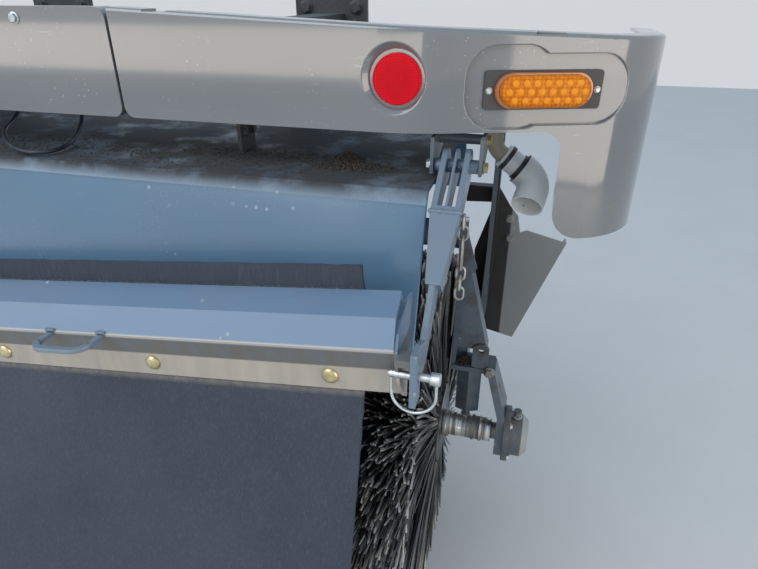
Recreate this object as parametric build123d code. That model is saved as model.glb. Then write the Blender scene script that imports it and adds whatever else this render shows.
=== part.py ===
from build123d import *
import math
import os

os.makedirs("parts", exist_ok=True)

# Rear broom unit of a street sweeper, in millimetres.
# X to the right of the machine, Y forward, Z up. The origin lies midway between the two
# chassis flanges, in the plane where they bolt on, so the whole unit reaches towards -Y.

# Chassis stub
rail_centre_x = 430
rail_width = 75
rail_height = 150
rail_wall = 6
rail_rear_y = -500
flange_width = 200
flange_height = 240
flange_thick = 16
flange_hole_r = 9
flange_hole_x = 70
flange_hole_z = 90
cross_depth = 80
cross_height = 80
cross_end_gap = 15
cross_wall = 6

# Bumper, three moulded sections; its top edge falls towards the sides
half_width = 1200
bumper_rear_y = -680
bumper_front_y = -285
bumper_top_z = 105
bumper_end_top_z = 62
bumper_bottom_z = -83
bumper_wall = 5
bumper_return = 45
bumper_side_run = 400
bumper_sweep_deg = 20
bumper_bend_r = 350
bumper_corner_r = 165
bumper_edge_r = 7
seam_x = 245
seam_gap = 6
seam_corner_r = 20
ear_width = 157
ear_bottom_z = -282
ear_inner_r = 38
ear_corner_r = 55
notch_from_seam = 96
notch_from_side = 197
notch_width = 46
notch_depth = 3
reflector_inset = 31
reflector_z = 2
reflector_r = 40.5
reflector_depth = 9
dish_r = 58
dish_floor_r = 46
dish_depth = 10
dish_edge_r = 4
lamp_along = 215
lamp_z = -16
lamp_pocket_depth = 9
lamp_pocket_edge_r = 2
lamp_pocket_tall = (150, 131, 52)
lamp_pocket_low = (200, 112, 50)
lamp_pocket_tall_at = (-57, 4)
lamp_pocket_low_at = 44
lamp_plate = (199, 62, 5)
lamp_base = (165, 57, 8)
lamp_lens = (151, 51, 14)
bumper_bracket_x = [150, 350, 600]
outer_bracket_inset = 148
bumper_bracket = 8

# Broom hood, a folded sheet over the broom, as (y, z) corners from front to rear
hood_end_gap = 8
hood_sheet = 4
hood_profile = [(-150, -330), (-250, -160), (-735, -160), (-748, -181), (-839, -462)]
hanger_y = [-560, -300]
hanger_length = 60
hanger_sheet = 8

# Rear flap frame and the arms that lift it
frame_sheet = 5
frame_side_gap = 352
frame_end_plate = 5
pivot_y = -640
pivot_z = -142
arm_offset = 23
arm_half_width = 24.5
arm_bar = 10
arm_web = 5
arm_end_r = 30
arm_link = 10
link_offset = 17
lug_rear = 15
lug_front = 17
lug_up = 44
lug_down = 48
spacer_y = -592
spacer_z = -105
spacer_r = 9
hinge_plate = 6
hinge_half_gap = 39
hinge_pin_r = 8
hinge_pin_out = 1
hinge_sleeve_r = 12
running_gap = 0.08
flap_tilt_deg = 6
flap_y = -950
flap_mid_z = -472
flap_shift_x = 6
flap_pin_out = -12
flap_pin_up = 18
flap_pin_r = 6
pin_play = 0.3
pin_tail = 14
pin_standoff = 18
pin_head_r = 10
pin_head = 15
ring_wire_r = 2.8
ring_drop = 66
lug_bridge = 12
bolt_inner_x = 95
bolt_middle_x = 415
bolt_from_end = 114
bolt_head_r = 13.5
bolt_head = 6
bolt_shank_r = 6.35
bolt_nut_r = 11
handle_x = 288
handle_half_length = 52
handle_reach = 46
handle_bar = (8, 12)
handle_bend_r = 24
rubber_thick = 8
rubber_length = 640
rubber_lean_deg = 18
rubber_end_gap = 64
rubber_taper = 66
rubber_top_z = 156

# Main broom and the arms that carry it
hub_y = -516
hub_z = -820
broom_r = 430
broom_core_r = 95
broom_past_frame = 14
bristle_rows = 36
bristle_root_r = 330
spool_r = 28
spool_clearance = 12
hub_shaft_r = 20
lift_y = -205
lift_z = -640
lift_pin_r = 16
lift_boss_r = 30
broom_side_gap = 10
broom_arm_width = 32
broom_arm_depth = 56
arm_sheet = 8
elbow_y = -480
elbow_z = -655
tube_y = -455
tube_z = -345
torque_tube_r = 30
hanger_head_z = -318
hub_plate_offset = 118
hub_plate = 18
hub_plate_lean = 37
tie_plate = 12
gusset_plate = 8
gusset_fold = 12
motor_flange_r = 66
motor_flange = 14
motor_r = 50
motor_body = 28
motor_cap_r = 38
motor_cap = 14
motor_port_r = 9
motor_port = 22

# Side deflectors, pipe and cable
deflector_y = -150
deflector_thick = 5
deflector_hem = 25
deflector_sheet = [(58, -455), (98, -438), (202, -463), (93, -772), (10, -754), (-8, -697)]  # past post_x, z
deflector_plate = [(-68, -318), (11, -318), (48, -374), (71, -400), (80, -445), (59, -458), (-6, -698),
                   (-14, -696), (-31, -640), (-36, -507), (6, -366), (-68, -370)]  # past post_x, z
deflector_flange = 22
strap_foot_z = -560
outrigger = 40
outrigger_y = -190
outrigger_end = 70
post_gap = 6
post_plate = 12
pipe_r = 17
pipe_end_gap = 81
pipe_y = -420
pipe_drop = 160
pipe_bend_r = 34
sleeve_r = 25
sleeve_band_r = 27.5
sleeve_band = 9
outlet_r = 33
outlet_wall = 3
outlet_bend_r = 38
outlet_offset = (91, -62)  # from the foot of the drop to the outlet's bend, x and z
outlet_reach = (-12, -52, -40)  # from the outlet's bend to its mouth
clamp_z = -30
clamp_height = 30
cable_r = 4
gland_x = [42, -125]
gland_y = -560
gland_length = 14
gland_r = 9

# Places that follow from the sizes above
bumper_bend_x = half_width - bumper_side_run
reflector_x = bumper_bend_x - reflector_inset
frame_half_length = half_width - frame_side_gap
cross_half_length = bumper_bend_x + lamp_along - cross_end_gap
cross_rear_y = rail_rear_y - cross_depth
cross_bottom_z = -rail_height / 2
cross_top_z = cross_bottom_z + cross_height
ear_inner_x = half_width - ear_width
hood_half_length = frame_half_length - hood_end_gap
rubber_half_length = frame_half_length - rubber_end_gap
bolt_x = [bolt_inner_x, bolt_middle_x, frame_half_length - bolt_from_end]
arm_centre_x = frame_half_length + arm_offset
arm_link_x = frame_half_length + link_offset
broom_half_length = frame_half_length + broom_past_frame
broom_arm_x = broom_half_length + broom_side_gap
arm_out_x = broom_arm_x + broom_arm_width
hub_plate_x = broom_arm_x + hub_plate_offset
hub_plate_out_x = hub_plate_x + hub_plate
spool_end_x = hub_plate_x - spool_clearance
post_x = arm_out_x + post_gap
outrigger_front_y = outrigger_y + outrigger
pipe_x = cross_half_length - pipe_end_gap
flap_tilt = math.radians(flap_tilt_deg)
flap_pin_y = flap_y + flap_pin_out


def save(shape, name):
    shape.label = name
    export_step(shape, "parts/" + name + ".step")


def box(x0, x1, y0, y1, z0, z1):
    centre = Pos((x0 + x1) / 2, (y0 + y1) / 2, (z0 + z1) / 2)
    return centre * Box(x1 - x0, y1 - y0, z1 - z0)


def rod(radius, x0, x1, y, z):
    return Pos((x0 + x1) / 2, y, z) * Rot(0, 90, 0) * Cylinder(radius, x1 - x0)


def plate(points, x0, x1):
    """A flat plate cut to a side outline of (y, z) points, standing between x0 and x1."""
    outline = Plane.YZ * make_face(Polyline(*points, close=True))
    return Pos(x0, 0, 0) * extrude(outline, x1 - x0)


def cross_plate(points, y, thick):
    """A flat plate cut to a rear outline of (x, z) points, from y back towards the rear."""
    return Pos(0, y, 0) * extrude(Plane.XZ * make_face(Polyline(*points, close=True)), thick)


def mirrored(shape):
    return mirror(shape, about=Plane.YZ)


def pair(shape):
    return Compound(children=[shape, mirrored(shape)])


def folded(points, thick):
    """Outline of a folded sheet: the given (y, z) line and its copy, one thickness inside it."""
    line = [Vector(y, z) for y, z in points]
    inner = []
    for i, here in enumerate(line):
        before = line[i] - line[i - 1] if i > 0 else None
        after = line[i + 1] - line[i] if i < len(line) - 1 else None
        normals = [Vector(-d.Y, d.X).normalized() for d in (before, after) if d is not None]
        total = normals[0] if len(normals) == 1 else normals[0] + normals[1]
        scale = 1 if len(normals) == 1 else 2 / total.length ** 2
        inner.append(here + total * (thick * scale))
    return [(v.X, v.Y) for v in line] + [(v.X, v.Y) for v in reversed(inner)]


# Chassis rails with their bolted flanges, and the cross member that joins them
def chassis_rail():
    x0 = rail_centre_x - rail_width / 2
    x1 = rail_centre_x + rail_width / 2
    tube = box(x0, x1, rail_rear_y, -flange_thick, -rail_height / 2, rail_height / 2)
    tube -= box(x0 + rail_wall, x1 - rail_wall, rail_rear_y - 1, -flange_thick,
                -rail_height / 2 + rail_wall, rail_height / 2 - rail_wall)
    flange = box(rail_centre_x - flange_width / 2, rail_centre_x + flange_width / 2,
                 -flange_thick, 0, -flange_height / 2, flange_height / 2)
    for side in (-1, 1):
        for level in (-1, 1):
            hole = Pos(rail_centre_x + side * flange_hole_x, -flange_thick / 2, level * flange_hole_z)
            flange -= hole * Rot(90, 0, 0) * Cylinder(flange_hole_r, 3 * flange_thick)
    return tube + flange


cross_member = box(-cross_half_length, cross_half_length, cross_rear_y, rail_rear_y,
                   cross_bottom_z, cross_top_z)
cross_member -= box(-cross_half_length - 1, cross_half_length + 1, cross_rear_y + cross_wall,
                    rail_rear_y - cross_wall, cross_bottom_z + cross_wall, cross_top_z - cross_wall)

rail = chassis_rail()
save(rail, "chassis_rail_right")
save(mirrored(rail), "chassis_rail_left")
save(cross_member, "rear_cross_member")


# Bumper: the plan outline is a flat rear, a swept face and a side, joined by arcs
def bumper_plan(inset):
    sweep = math.radians(bumper_sweep_deg)
    bend = Vector(bumper_bend_x - inset * math.tan(sweep / 2), bumper_rear_y + inset)
    side_x = half_width - inset
    corner_y = bend.Y + (side_x - bend.X) * math.tan(sweep)
    path = FilletPolyline((0, bend.Y), (bend.X, bend.Y), (side_x, corner_y), (side_x, bumper_front_y),
                          radius=[bumper_bend_r - inset, bumper_corner_r - inset])
    back = Polyline((side_x, bumper_front_y), (0, bumper_front_y), (0, bend.Y))
    return make_face(path.edges() + back.edges())


def bumper_block(inset):
    """Everything inside the bumper's skin: its plan outline cut to its rear view."""
    left = seam_x + seam_gap / 2 + inset
    right = half_width + 20
    foot = ear_bottom_z + inset
    under = bumper_bottom_z + inset
    inner = ear_inner_x + inset
    fall = (bumper_top_z - bumper_end_top_z) / (half_width - seam_x)
    top_left = bumper_top_z - (left - seam_x) * fall - inset
    top_right = bumper_top_z - (right - seam_x) * fall - inset
    line = FilletPolyline((left, top_left - 1), (left, under), (inner, under), (inner, foot), (right, foot),
                          radius=[seam_corner_r - inset, ear_inner_r + inset, ear_corner_r - inset])
    rest = Polyline((right, foot), (right, top_right), (left, top_left), (left, top_left - 1))
    rear_view = Plane.XZ * make_face(line.edges() + rest.edges())
    slab = extrude(rear_view, 900, both=True)
    return slab & Pos(0, 0, foot - 5) * extrude(bumper_plan(inset), bumper_top_z - foot + 10)


def on_sweep(along, z, shape):
    """Seat a shape on the swept face, its own +Z pointing out of the face to the rear."""
    return (Pos(bumper_bend_x, bumper_rear_y, 0) * Rot(0, 0, bumper_sweep_deg)
            * Pos(along, 0, z) * Rot(90, 0, 0) * shape)


def on_rear(x, z, shape):
    """Seat a shape on the flat rear face, its own +Z pointing out to the rear."""
    return Pos(x, bumper_rear_y, z) * Rot(90, 0, 0) * shape


def lamp_pocket(grow, depth):
    """Long rounded pocket for the marker lamp, taller over its left half."""
    tall, low = [RectangleRounded(length + 2 * grow, height + 2 * grow, corner + grow)
                 for length, height, corner in (lamp_pocket_tall, lamp_pocket_low)]
    outline = Pos(*lamp_pocket_tall_at) * tall + Pos(lamp_pocket_low_at) * low
    return on_sweep(lamp_along, lamp_z, Pos(0, 0, -depth) * extrude(outline, depth + 40))


def reflector_dish(grow, depth):
    """Shallow round dish with a sloping wall, open to the rear."""
    wall = Pos(0, 0, -depth / 2) * Cone(dish_floor_r + grow, dish_r + grow, depth)
    return on_rear(reflector_x, reflector_z, wall + Pos(0, 0, 10) * Cylinder(dish_r + grow, 20))


def sink(skin, pocket, floor, outward, radius):
    """Cut a pocket into the skin and round the edge where the two meet."""
    cut = skin - pocket
    rim = []
    for edge in new_edges(skin, pocket, combined=cut):
        height = (edge @ 0.5 - floor).dot(outward)
        if height > 1 and abs((edge % 0.5).dot(outward)) < 0.9:
            rim.append(edge)
    return fillet(rim, radius)


def bumper_side():
    skin = bumper_block(0)
    outer_edges = [e for e in skin.edges()
                   if e.bounding_box().min.Z > bumper_end_top_z - 25 and e.center().Y < bumper_front_y - 40
                   and e.length > 90 and abs(e.bounding_box().max.X - e.bounding_box().min.X) > 60]
    skin = fillet(outer_edges, bumper_edge_r)
    dish_floor = Vector(reflector_x, bumper_rear_y + dish_depth, reflector_z)
    skin = sink(skin, reflector_dish(0, dish_depth), dish_floor, Vector(0, -1, 0), dish_edge_r)
    lamp_floor = on_sweep(lamp_along, lamp_z, Pos(0, 0, -lamp_pocket_depth) * Box(1, 1, 1)).center()
    sweep = math.radians(bumper_sweep_deg)
    skin = sink(skin, lamp_pocket(0, lamp_pocket_depth), lamp_floor, Vector(math.sin(sweep), -math.cos(sweep)),
                lamp_pocket_edge_r)
    hollow = bumper_block(bumper_wall)
    hollow -= reflector_dish(bumper_wall, dish_depth + bumper_wall)
    hollow -= lamp_pocket(bumper_wall, lamp_pocket_depth + bumper_wall)
    inside = Pos(0, 0, -400) * extrude(bumper_plan(bumper_return), 800)
    shell = skin - hollow - inside
    fall = (bumper_top_z - bumper_end_top_z) / (half_width - seam_x)
    for x in (seam_x + notch_from_seam, half_width - notch_from_side):
        top = bumper_top_z - (x - seam_x) * fall
        shell -= box(x - notch_width / 2, x + notch_width / 2, bumper_rear_y - 1, cross_rear_y,
                     top - notch_depth, bumper_top_z + 10)
    return shell


def bumper_middle():
    reach = seam_x - seam_gap / 2
    outline = RectangleRounded(2 * reach, bumper_top_z - bumper_bottom_z, seam_corner_r)
    centre_z = (bumper_top_z + bumper_bottom_z) / 2
    skin = on_rear(0, centre_z, extrude(outline, -bumper_return))
    core = offset(outline, -bumper_wall)
    return skin - on_rear(0, centre_z, Pos(0, 0, -bumper_wall) * extrude(core, -bumper_return))


bumper_right = bumper_side()
save(bumper_right, "bumper_right")
save(mirrored(bumper_right), "bumper_left")
save(bumper_middle(), "bumper_center")

# Flat bars that carry the bumper from the cross member, cut to the inside of its skin
brackets = []
for x in bumper_bracket_x + [cross_half_length - outer_bracket_inset]:
    bar = box(x - bumper_bracket / 2, x + bumper_bracket / 2, bumper_rear_y, cross_rear_y,
              cross_bottom_z + 10, cross_top_z)
    bar = bar & extrude(bumper_plan(bumper_wall), 200, both=True)
    brackets += [bar, mirrored(bar)]
save(Compound(children=brackets), "bumper_brackets")

# Reflectors and marker lamps
reflector = on_rear(reflector_x, reflector_z,
                    Pos(0, 0, -dish_depth) * extrude(Circle(reflector_r), reflector_depth))
save(pair(reflector), "rear_reflectors")


def lamp_layer(size, corner, start):
    length, height, thick = size
    return on_sweep(lamp_along, lamp_z,
                    Pos(0, 0, start) * extrude(RectangleRounded(length, height, corner), thick))


plate_start = -lamp_pocket_depth
base_start = plate_start + lamp_plate[2]
lens_start = base_start + lamp_base[2]
save(pair(lamp_layer(lamp_plate, 6, plate_start)), "marker_lamp_plates")
save(pair(lamp_layer(lamp_base, lamp_base[1] / 2 - 0.5, base_start)), "marker_lamp_bases")
save(pair(lamp_layer(lamp_lens, lamp_lens[1] / 2 - 0.5, lens_start)), "marker_lamp_lenses")

# Broom hood: one folded sheet, hung from the rails and the cross member
hood = plate(folded(hood_profile, hood_sheet), -hood_half_length, hood_half_length)
save(hood, "broom_hood")
deck_z = hood_profile[1][1]
hangers = []
for y in hanger_y:
    hanger = box(rail_centre_x - hanger_sheet / 2, rail_centre_x + hanger_sheet / 2,
                 y - hanger_length / 2, y + hanger_length / 2, deck_z, cross_bottom_z)
    hangers += [hanger, mirrored(hanger)]
save(Compound(children=hangers), "hood_hangers")


# Hinge brackets under the cross member: two cheek plates, the hinge pin and a spacer tube
def hinge_cheek(x0):
    root_y = rail_rear_y - 5
    step_y = cross_rear_y - 2
    top_z = spacer_z + spacer_r + 5
    low_z = pivot_z - 12
    return plate([(root_y, cross_bottom_z), (step_y, cross_bottom_z), (step_y - 4, top_z),
                  (pivot_y - 18, top_z), (pivot_y - 18, low_z), (pivot_y + 16, low_z),
                  (root_y, cross_bottom_z - 30)], x0, x0 + hinge_plate)


inner_cheek_x = arm_centre_x - hinge_half_gap - hinge_plate
outer_cheek_x = arm_centre_x + hinge_half_gap
bracket = hinge_cheek(inner_cheek_x) + hinge_cheek(outer_cheek_x)
bracket += rod(hinge_pin_r, inner_cheek_x - hinge_pin_out, outer_cheek_x + hinge_plate + hinge_pin_out,
               pivot_y, pivot_z)
bracket += rod(spacer_r, inner_cheek_x, outer_cheek_x + hinge_plate, spacer_y, spacer_z)
save(bracket, "hinge_bracket_right")
save(mirrored(bracket), "hinge_bracket_left")

# Lift arm: two bars and a web under one tapering cap, and a link bar that ends in a lug for
# the lock pin
arm_top_y, arm_top_z = pivot_y - 14, pivot_z + 26.5
arm_low_y, arm_low_z = pivot_y + 13, pivot_z - 27
cap_head = (-759, -187)
cap_end = (-846, -272)
cap_half_end = 12.5
cap_depth = 38
closing_length = 15
link_rear = [(-800, -228), (-893, -322), (-908, -336)]
link_front = [(-868, -352), (-780, -280)]
cap_run = Vector(*cap_end) - Vector(*cap_head)
cap_in = Vector(-cap_run.Y, cap_run.X).normalized() * cap_depth
cap_foot = Vector(*cap_head) + cap_in


def flap_place(shape):
    return Pos(flap_shift_x, flap_y, flap_mid_z) * Rot(0, -flap_tilt_deg, 0) * shape


def pin_z(side):
    """Height of the flap's pin at one end: the flap hangs lower on its left."""
    return flap_mid_z + flap_pin_up + side * (frame_half_length + link_offset) * math.tan(flap_tilt)


def end_x(side):
    """Distance of the flap frame's end from the middle of the machine."""
    return frame_half_length * math.cos(flap_tilt) + side * flap_shift_x


def arm_plate(x0, thick):
    bar = plate([(arm_top_y, arm_top_z), cap_head, (cap_foot.X, cap_foot.Y), (arm_low_y, arm_low_z)],
                x0, x0 + thick)
    return bar + rod(arm_end_r, x0, x0 + thick, pivot_y, pivot_z)


def arm_link_bar(side):
    """The link from under the cap to the lug, and the lug with its rounded foot."""
    pin = pin_z(side)
    rear_y = flap_pin_y - lug_rear
    front_y = flap_pin_y + lug_front
    top = pin + lug_up
    foot = pin - lug_down
    link = plate(link_rear + [(front_y, top), (front_y, pin - 4), (front_y + 14, pin - 16),
                              (front_y + 40, pin - 16)] + link_front, arm_link_x, arm_link_x + arm_link)
    lug = plate([(rear_y, top), (front_y, top), (front_y, foot), (rear_y, foot)],
                arm_link_x, arm_link_x + arm_link)
    return link + lug


def lift_arm(side):
    x0 = arm_centre_x - arm_half_width
    x1 = arm_centre_x + arm_half_width
    arm = arm_plate(x0, arm_bar) + arm_plate(x1 - arm_bar, arm_bar)
    arm += arm_plate(arm_centre_x - arm_web / 2, arm_web)
    back = (Vector(arm_top_y, arm_top_z) - Vector(*cap_head)).normalized() * closing_length
    corners = [Vector(*cap_head), Vector(*cap_head) + back, cap_foot + back, cap_foot]
    arm += plate([(v.X, v.Y) for v in corners], x0, x1)
    arm += arm_link_bar(side)
    cap_plane = Plane(origin=(0, *cap_head), x_dir=(1, 0, 0), z_dir=(0, cap_run.Y, -cap_run.X))
    cap = Polyline((x0, 0), (x1, 0), (arm_centre_x + cap_half_end, cap_run.length),
                   (arm_centre_x - cap_half_end, cap_run.length), close=True)
    arm += extrude(cap_plane * Rot(0, 0, 180) * Pos(-2 * arm_centre_x, 0, 0) * make_face(cap), -cap_depth)
    arm += rod(hinge_sleeve_r, arm_centre_x - hinge_half_gap + 1, arm_centre_x + hinge_half_gap - 1,
               pivot_y, pivot_z)
    arm -= rod(hinge_pin_r + running_gap, x0 - 100, x1 + 100, pivot_y, pivot_z)
    arm -= rod(flap_pin_r + pin_play, arm_link_x - 5, arm_link_x + arm_link + 5, flap_pin_y, pin_z(side))
    return arm


save(lift_arm(1), "lift_arm_right")
save(mirrored(lift_arm(-1)), "lift_arm_left")

# Rear flap: a folded steel channel with end plates, and the rubber bolted inside it
frame_profile = [(62, 100), (62, 118), (16, 97), (-14, 59), (0, 17), (0, -24)]
end_outline = [(108, 92), (67, 96), (27, 88), (6, 75), (-9, 59), (-17, 38), (-14, 4), (4, -30), (16, -40),
               (26, -22), (50, 20), (80, 62)]
channel_half = frame_half_length - frame_end_plate
channel = plate(folded(frame_profile, frame_sheet), -channel_half, channel_half)
end_plate = plate(end_outline, channel_half, frame_half_length)
channel += end_plate + mirrored(end_plate)
bolt_places = [side * x for x in bolt_x for side in (-1, 1)]
for x in bolt_places:
    channel -= Pos(x, 0, 0) * Rot(90, 0, 0) * Cylinder(bolt_shank_r + pin_play, 60)
frame = flap_place(channel)
for side in (-1, 1):
    z = pin_z(side) + lug_up - lug_bridge
    outer_x = side * arm_link_x
    inner_x = side * (end_x(side) - frame_end_plate - 1)
    frame += box(min(outer_x, inner_x), max(outer_x, inner_x), flap_pin_y - lug_rear + 2,
                 flap_pin_y + lug_front, z - lug_bridge, z)
    frame -= rod(flap_pin_r + pin_play, outer_x - 40, outer_x + 40, flap_pin_y, pin_z(side))
save(frame, "flap_frame")

lean = math.radians(rubber_lean_deg)
rubber_y = frame_sheet + pin_play
rubber_foot_z = -28 - rubber_length * math.cos(lean)
rubber_line = [(frame_profile[0][0] + 1, rubber_top_z), (frame_profile[0][0] + 1, 97), (rubber_y, 34),
               (rubber_y, -28), (rubber_y - rubber_length * math.sin(lean), rubber_foot_z)]
rubber = plate(folded(rubber_line, rubber_thick), -rubber_half_length, rubber_half_length)
rubber_foot_half = rubber_half_length - rubber_taper
rubber = rubber & cross_plate([(-rubber_half_length, rubber_top_z + 1), (rubber_half_length, rubber_top_z + 1),
                               (rubber_half_length, -28), (rubber_foot_half, rubber_foot_z - 10),
                               (-rubber_foot_half, rubber_foot_z - 10), (-rubber_half_length, -28)], 200, 900)
nut_start = frame_sheet + rubber_thick + 1
bolts = []
for x in bolt_places:
    rubber -= Pos(x, 0, 0) * Rot(90, 0, 0) * Cylinder(bolt_shank_r + pin_play, 80)
    bolt = (extrude(Circle(bolt_head_r), bolt_head)
            + Pos(0, 0, -nut_start - 8) * extrude(Circle(bolt_shank_r), nut_start + 10)
            + Pos(0, 0, -nut_start - 10) * extrude(RegularPolygon(bolt_nut_r, 6), 10))
    bolts.append(flap_place(Pos(x, 0, 0) * Rot(90, 0, 0) * bolt))
save(flap_place(rubber), "rubber_flap")
save(Compound(children=bolts), "carriage_bolts")

# Pull handles welded to the frame's lip
lip_y, lip_z = frame_profile[3]
handle_z = lip_z - 4
handle_line = FilletPolyline((-handle_half_length, lip_y, handle_z),
                             (-handle_half_length, lip_y - handle_reach, handle_z),
                             (handle_half_length, lip_y - handle_reach, handle_z),
                             (handle_half_length, lip_y, handle_z), radius=handle_bend_r)
handle_section = Plane(origin=handle_line @ 0, z_dir=handle_line % 0) * Rectangle(*handle_bar)
handle = sweep(handle_section, path=handle_line)
handles = [flap_place(Pos(side * handle_x, 0, 0) * handle) for side in (-1, 1)]
save(Compound(children=handles), "pull_handles")

# Lock pins, each with a wire ring that snaps from its head to its tail
pins = []
rings = []
for side in (-1, 1):
    z = pin_z(side)
    tail = side * (end_x(side) - frame_end_plate - pin_tail)
    outer = side * (arm_link_x + arm_link + pin_standoff)
    end = outer + side * pin_head
    pin = rod(flap_pin_r, min(tail, end), max(tail, end), flap_pin_y, z)
    pin += rod(pin_head_r, min(outer, end), max(outer, end), flap_pin_y, z)
    pins.append(pin)
    legs_x = [(tail + side * 5, flap_pin_r), (end - side * 6, pin_head_r)]
    (left, left_r), (right, right_r) = sorted(legs_x)
    legs = FilletPolyline((left, 0, -left_r - pin_play), (left, 0, -ring_drop), (right, 0, -ring_drop),
                          (right, 0, -right_r - pin_play), radius=(right - left) / 2 - 1)
    wire = Plane(origin=legs @ 0, z_dir=legs % 0) * RegularPolygon(ring_wire_r, 6)
    rings.append(Pos(0, flap_pin_y, z) * sweep(wire, path=legs))
save(Compound(children=pins), "lock_pins")
save(Compound(children=rings), "lock_pin_rings")

# Safety chain that hangs from an eye on the right arm's outer side
chain_links = [(30, 20), (30, 20), (66, 18), (30, 20), (30, 20), (30, 20)]  # length and width of each
link_wire = 5
chain_y = -728
chain_top_z = -196
link_play = 0.6
turns_round_bend = 5


def chain_link(length, width, turn):
    """One link, a stadium of bar in short straights, its top at the origin and its length along -Z."""
    bend = (width - link_wire) / 2
    half = length / 2 - link_wire / 2 - bend
    points = []
    for end in (1, -1):
        for i in range(turns_round_bend):
            angle = math.pi * i / (turns_round_bend - 1)
            points.append((end * bend * math.cos(angle), 0, end * (half + bend * math.sin(angle))))
    loop = Polyline(*points, close=True)
    section = Plane(origin=(bend, 0, 0), z_dir=(0, 0, 1)) * RegularPolygon(link_wire / 2, 6)
    ring = sweep(section, path=Wire(loop.edges()), transition=Transition.RIGHT)
    return Rot(0, 0, turn) * Pos(0, 0, -length / 2) * ring


eye_x = arm_centre_x + arm_half_width
eye_r = 4
eye_length = 12
chain_x = eye_x + link_wire / 2 + 1.5
chain = []
link_top = chain_top_z
for i, (length, width) in enumerate(chain_links):
    chain.append(Pos(chain_x, chain_y, link_top) * chain_link(length, width, 90 * ((i + 1) % 2)))
    link_top -= length - 2 * link_wire - link_play
save(Compound(children=chain), "safety_chain")
eye = rod(eye_r, eye_x, eye_x + eye_length, chain_y, chain_top_z - link_wire - eye_r - link_play)
save(eye, "chain_eye")

# Main broom: core tube, end spools with worn collars, and rows of bristles all round it
collars = [(2, 16, 33), (70, 76, 30.5), (88, 94, 30.5)]  # from, to past the bristles, radius
core = rod(broom_core_r, -broom_half_length, broom_half_length, hub_y, hub_z)
core += rod(spool_r, -spool_end_x, spool_end_x, hub_y, hub_z)
core += rod(hub_shaft_r, 1 - hub_plate_out_x, hub_plate_out_x - 1, hub_y, hub_z)
for start, end, radius in collars:
    collar = rod(radius, broom_half_length + start, broom_half_length + end, hub_y, hub_z)
    core += collar + mirrored(collar)
save(core, "broom_core")
rows = []
for i in range(2 * bristle_rows):
    angle = math.pi * i / bristle_rows
    r = broom_r if i % 2 == 0 else bristle_root_r
    rows.append((r * math.cos(angle), r * math.sin(angle)))
bristles = extrude(Plane.YZ * make_face(Polyline(*rows, close=True)), broom_half_length, both=True)
bristles -= rod(broom_core_r, -broom_half_length - 1, broom_half_length + 1, 0, 0)
save(Pos(0, hub_y, hub_z) * bristles, "broom_bristles")


# Broom arms: a trailing bar from the front pivot, an upright that carries the cross tube,
# and a tie and a leaning plate out to the hub
def bar_between(start, end, depth):
    """Outline of a straight bar of the given depth between two (y, z) centres."""
    run = Vector(*end) - Vector(*start)
    side = Vector(-run.Y, run.X).normalized() * (depth / 2)
    corners = [Vector(*start) + side, Vector(*end) + side, Vector(*end) - side, Vector(*start) - side]
    return [(v.X, v.Y) for v in corners]


trail = plate(bar_between((lift_y, lift_z), (elbow_y, elbow_z), broom_arm_depth), broom_arm_x, arm_out_x)
trail += rod(lift_boss_r, broom_arm_x, arm_out_x, lift_y, lift_z)
trail -= rod(lift_pin_r + running_gap, broom_arm_x - 10, arm_out_x + 10, lift_y, lift_z)
lean_x = hub_plate_x - hub_plate_lean
upright_foot = elbow_z + 55
upright_half = 28
upright = plate([(elbow_y - upright_half, elbow_z), (tube_y - 26, hanger_head_z), (tube_y + 24, hanger_head_z),
                 (elbow_y + upright_half, elbow_z)], broom_arm_x, broom_arm_x + arm_sheet)
flare = [(0, upright_foot), (0, -318), (12, -318), (30, -410), (78, upright_foot)]  # past broom_arm_x, z
flare_line = [(broom_arm_x + x, z) for x, z in flare]
rear_face = cross_plate(flare_line, elbow_y - upright_half + arm_sheet, arm_sheet)
lip_line = flare_line[3:] + [(x - arm_sheet, z) for x, z in reversed(flare_line[3:])]
side_lip = cross_plate(lip_line, elbow_y + upright_half / 2, 1.5 * upright_half)
head_line = [(broom_arm_x + x, z) for x, z in [(-6, -303), (10, -303), (39, -398), (33, -408), (2, -408)]]
head = cross_plate(head_line, tube_y - torque_tube_r - 16, arm_sheet)
tie = box(broom_arm_x, lean_x + hub_plate, elbow_y - 34, elbow_y + 30, elbow_z - tie_plate / 2,
          elbow_z + tie_plate / 2)
foot_x = broom_arm_x + 78
stop_line = [(-32, elbow_z), (-32, upright_foot + 6), (-20, upright_foot + 16), (-4, upright_foot + 16),
             (5, upright_foot + 4), (5, elbow_z)]  # past foot_x, z
stop_lug = cross_plate([(foot_x + x, z) for x, z in stop_line], elbow_y - upright_half + arm_sheet / 2,
                       arm_sheet)
stop_lug -= Pos(foot_x - 13, elbow_y - upright_half, upright_foot) * Rot(90, 0, 0) * Cylinder(7, 80)
drop = plate([(elbow_y - 34, elbow_z), (elbow_y + 30, elbow_z), (hub_y + 52, hub_z - 10),
              (hub_y + 30, hub_z - 48), (hub_y - 30, hub_z - 48), (hub_y - 52, hub_z - 10)],
             lean_x, hub_plate_out_x)
drop = drop & cross_plate([(lean_x, elbow_z + tie_plate / 2), (lean_x + hub_plate, elbow_z + tie_plate / 2),
                           (hub_plate_out_x, hub_z + 60), (hub_plate_out_x, hub_z - 60),
                           (hub_plate_x, hub_z - 60), (hub_plate_x, hub_z + 60)], 0, 900)
gusset_in = broom_arm_x + 14
gusset_out = broom_arm_x + 70
gusset_ridge = (gusset_in + gusset_out) / 2
gusset_y = elbow_y - 16
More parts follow.
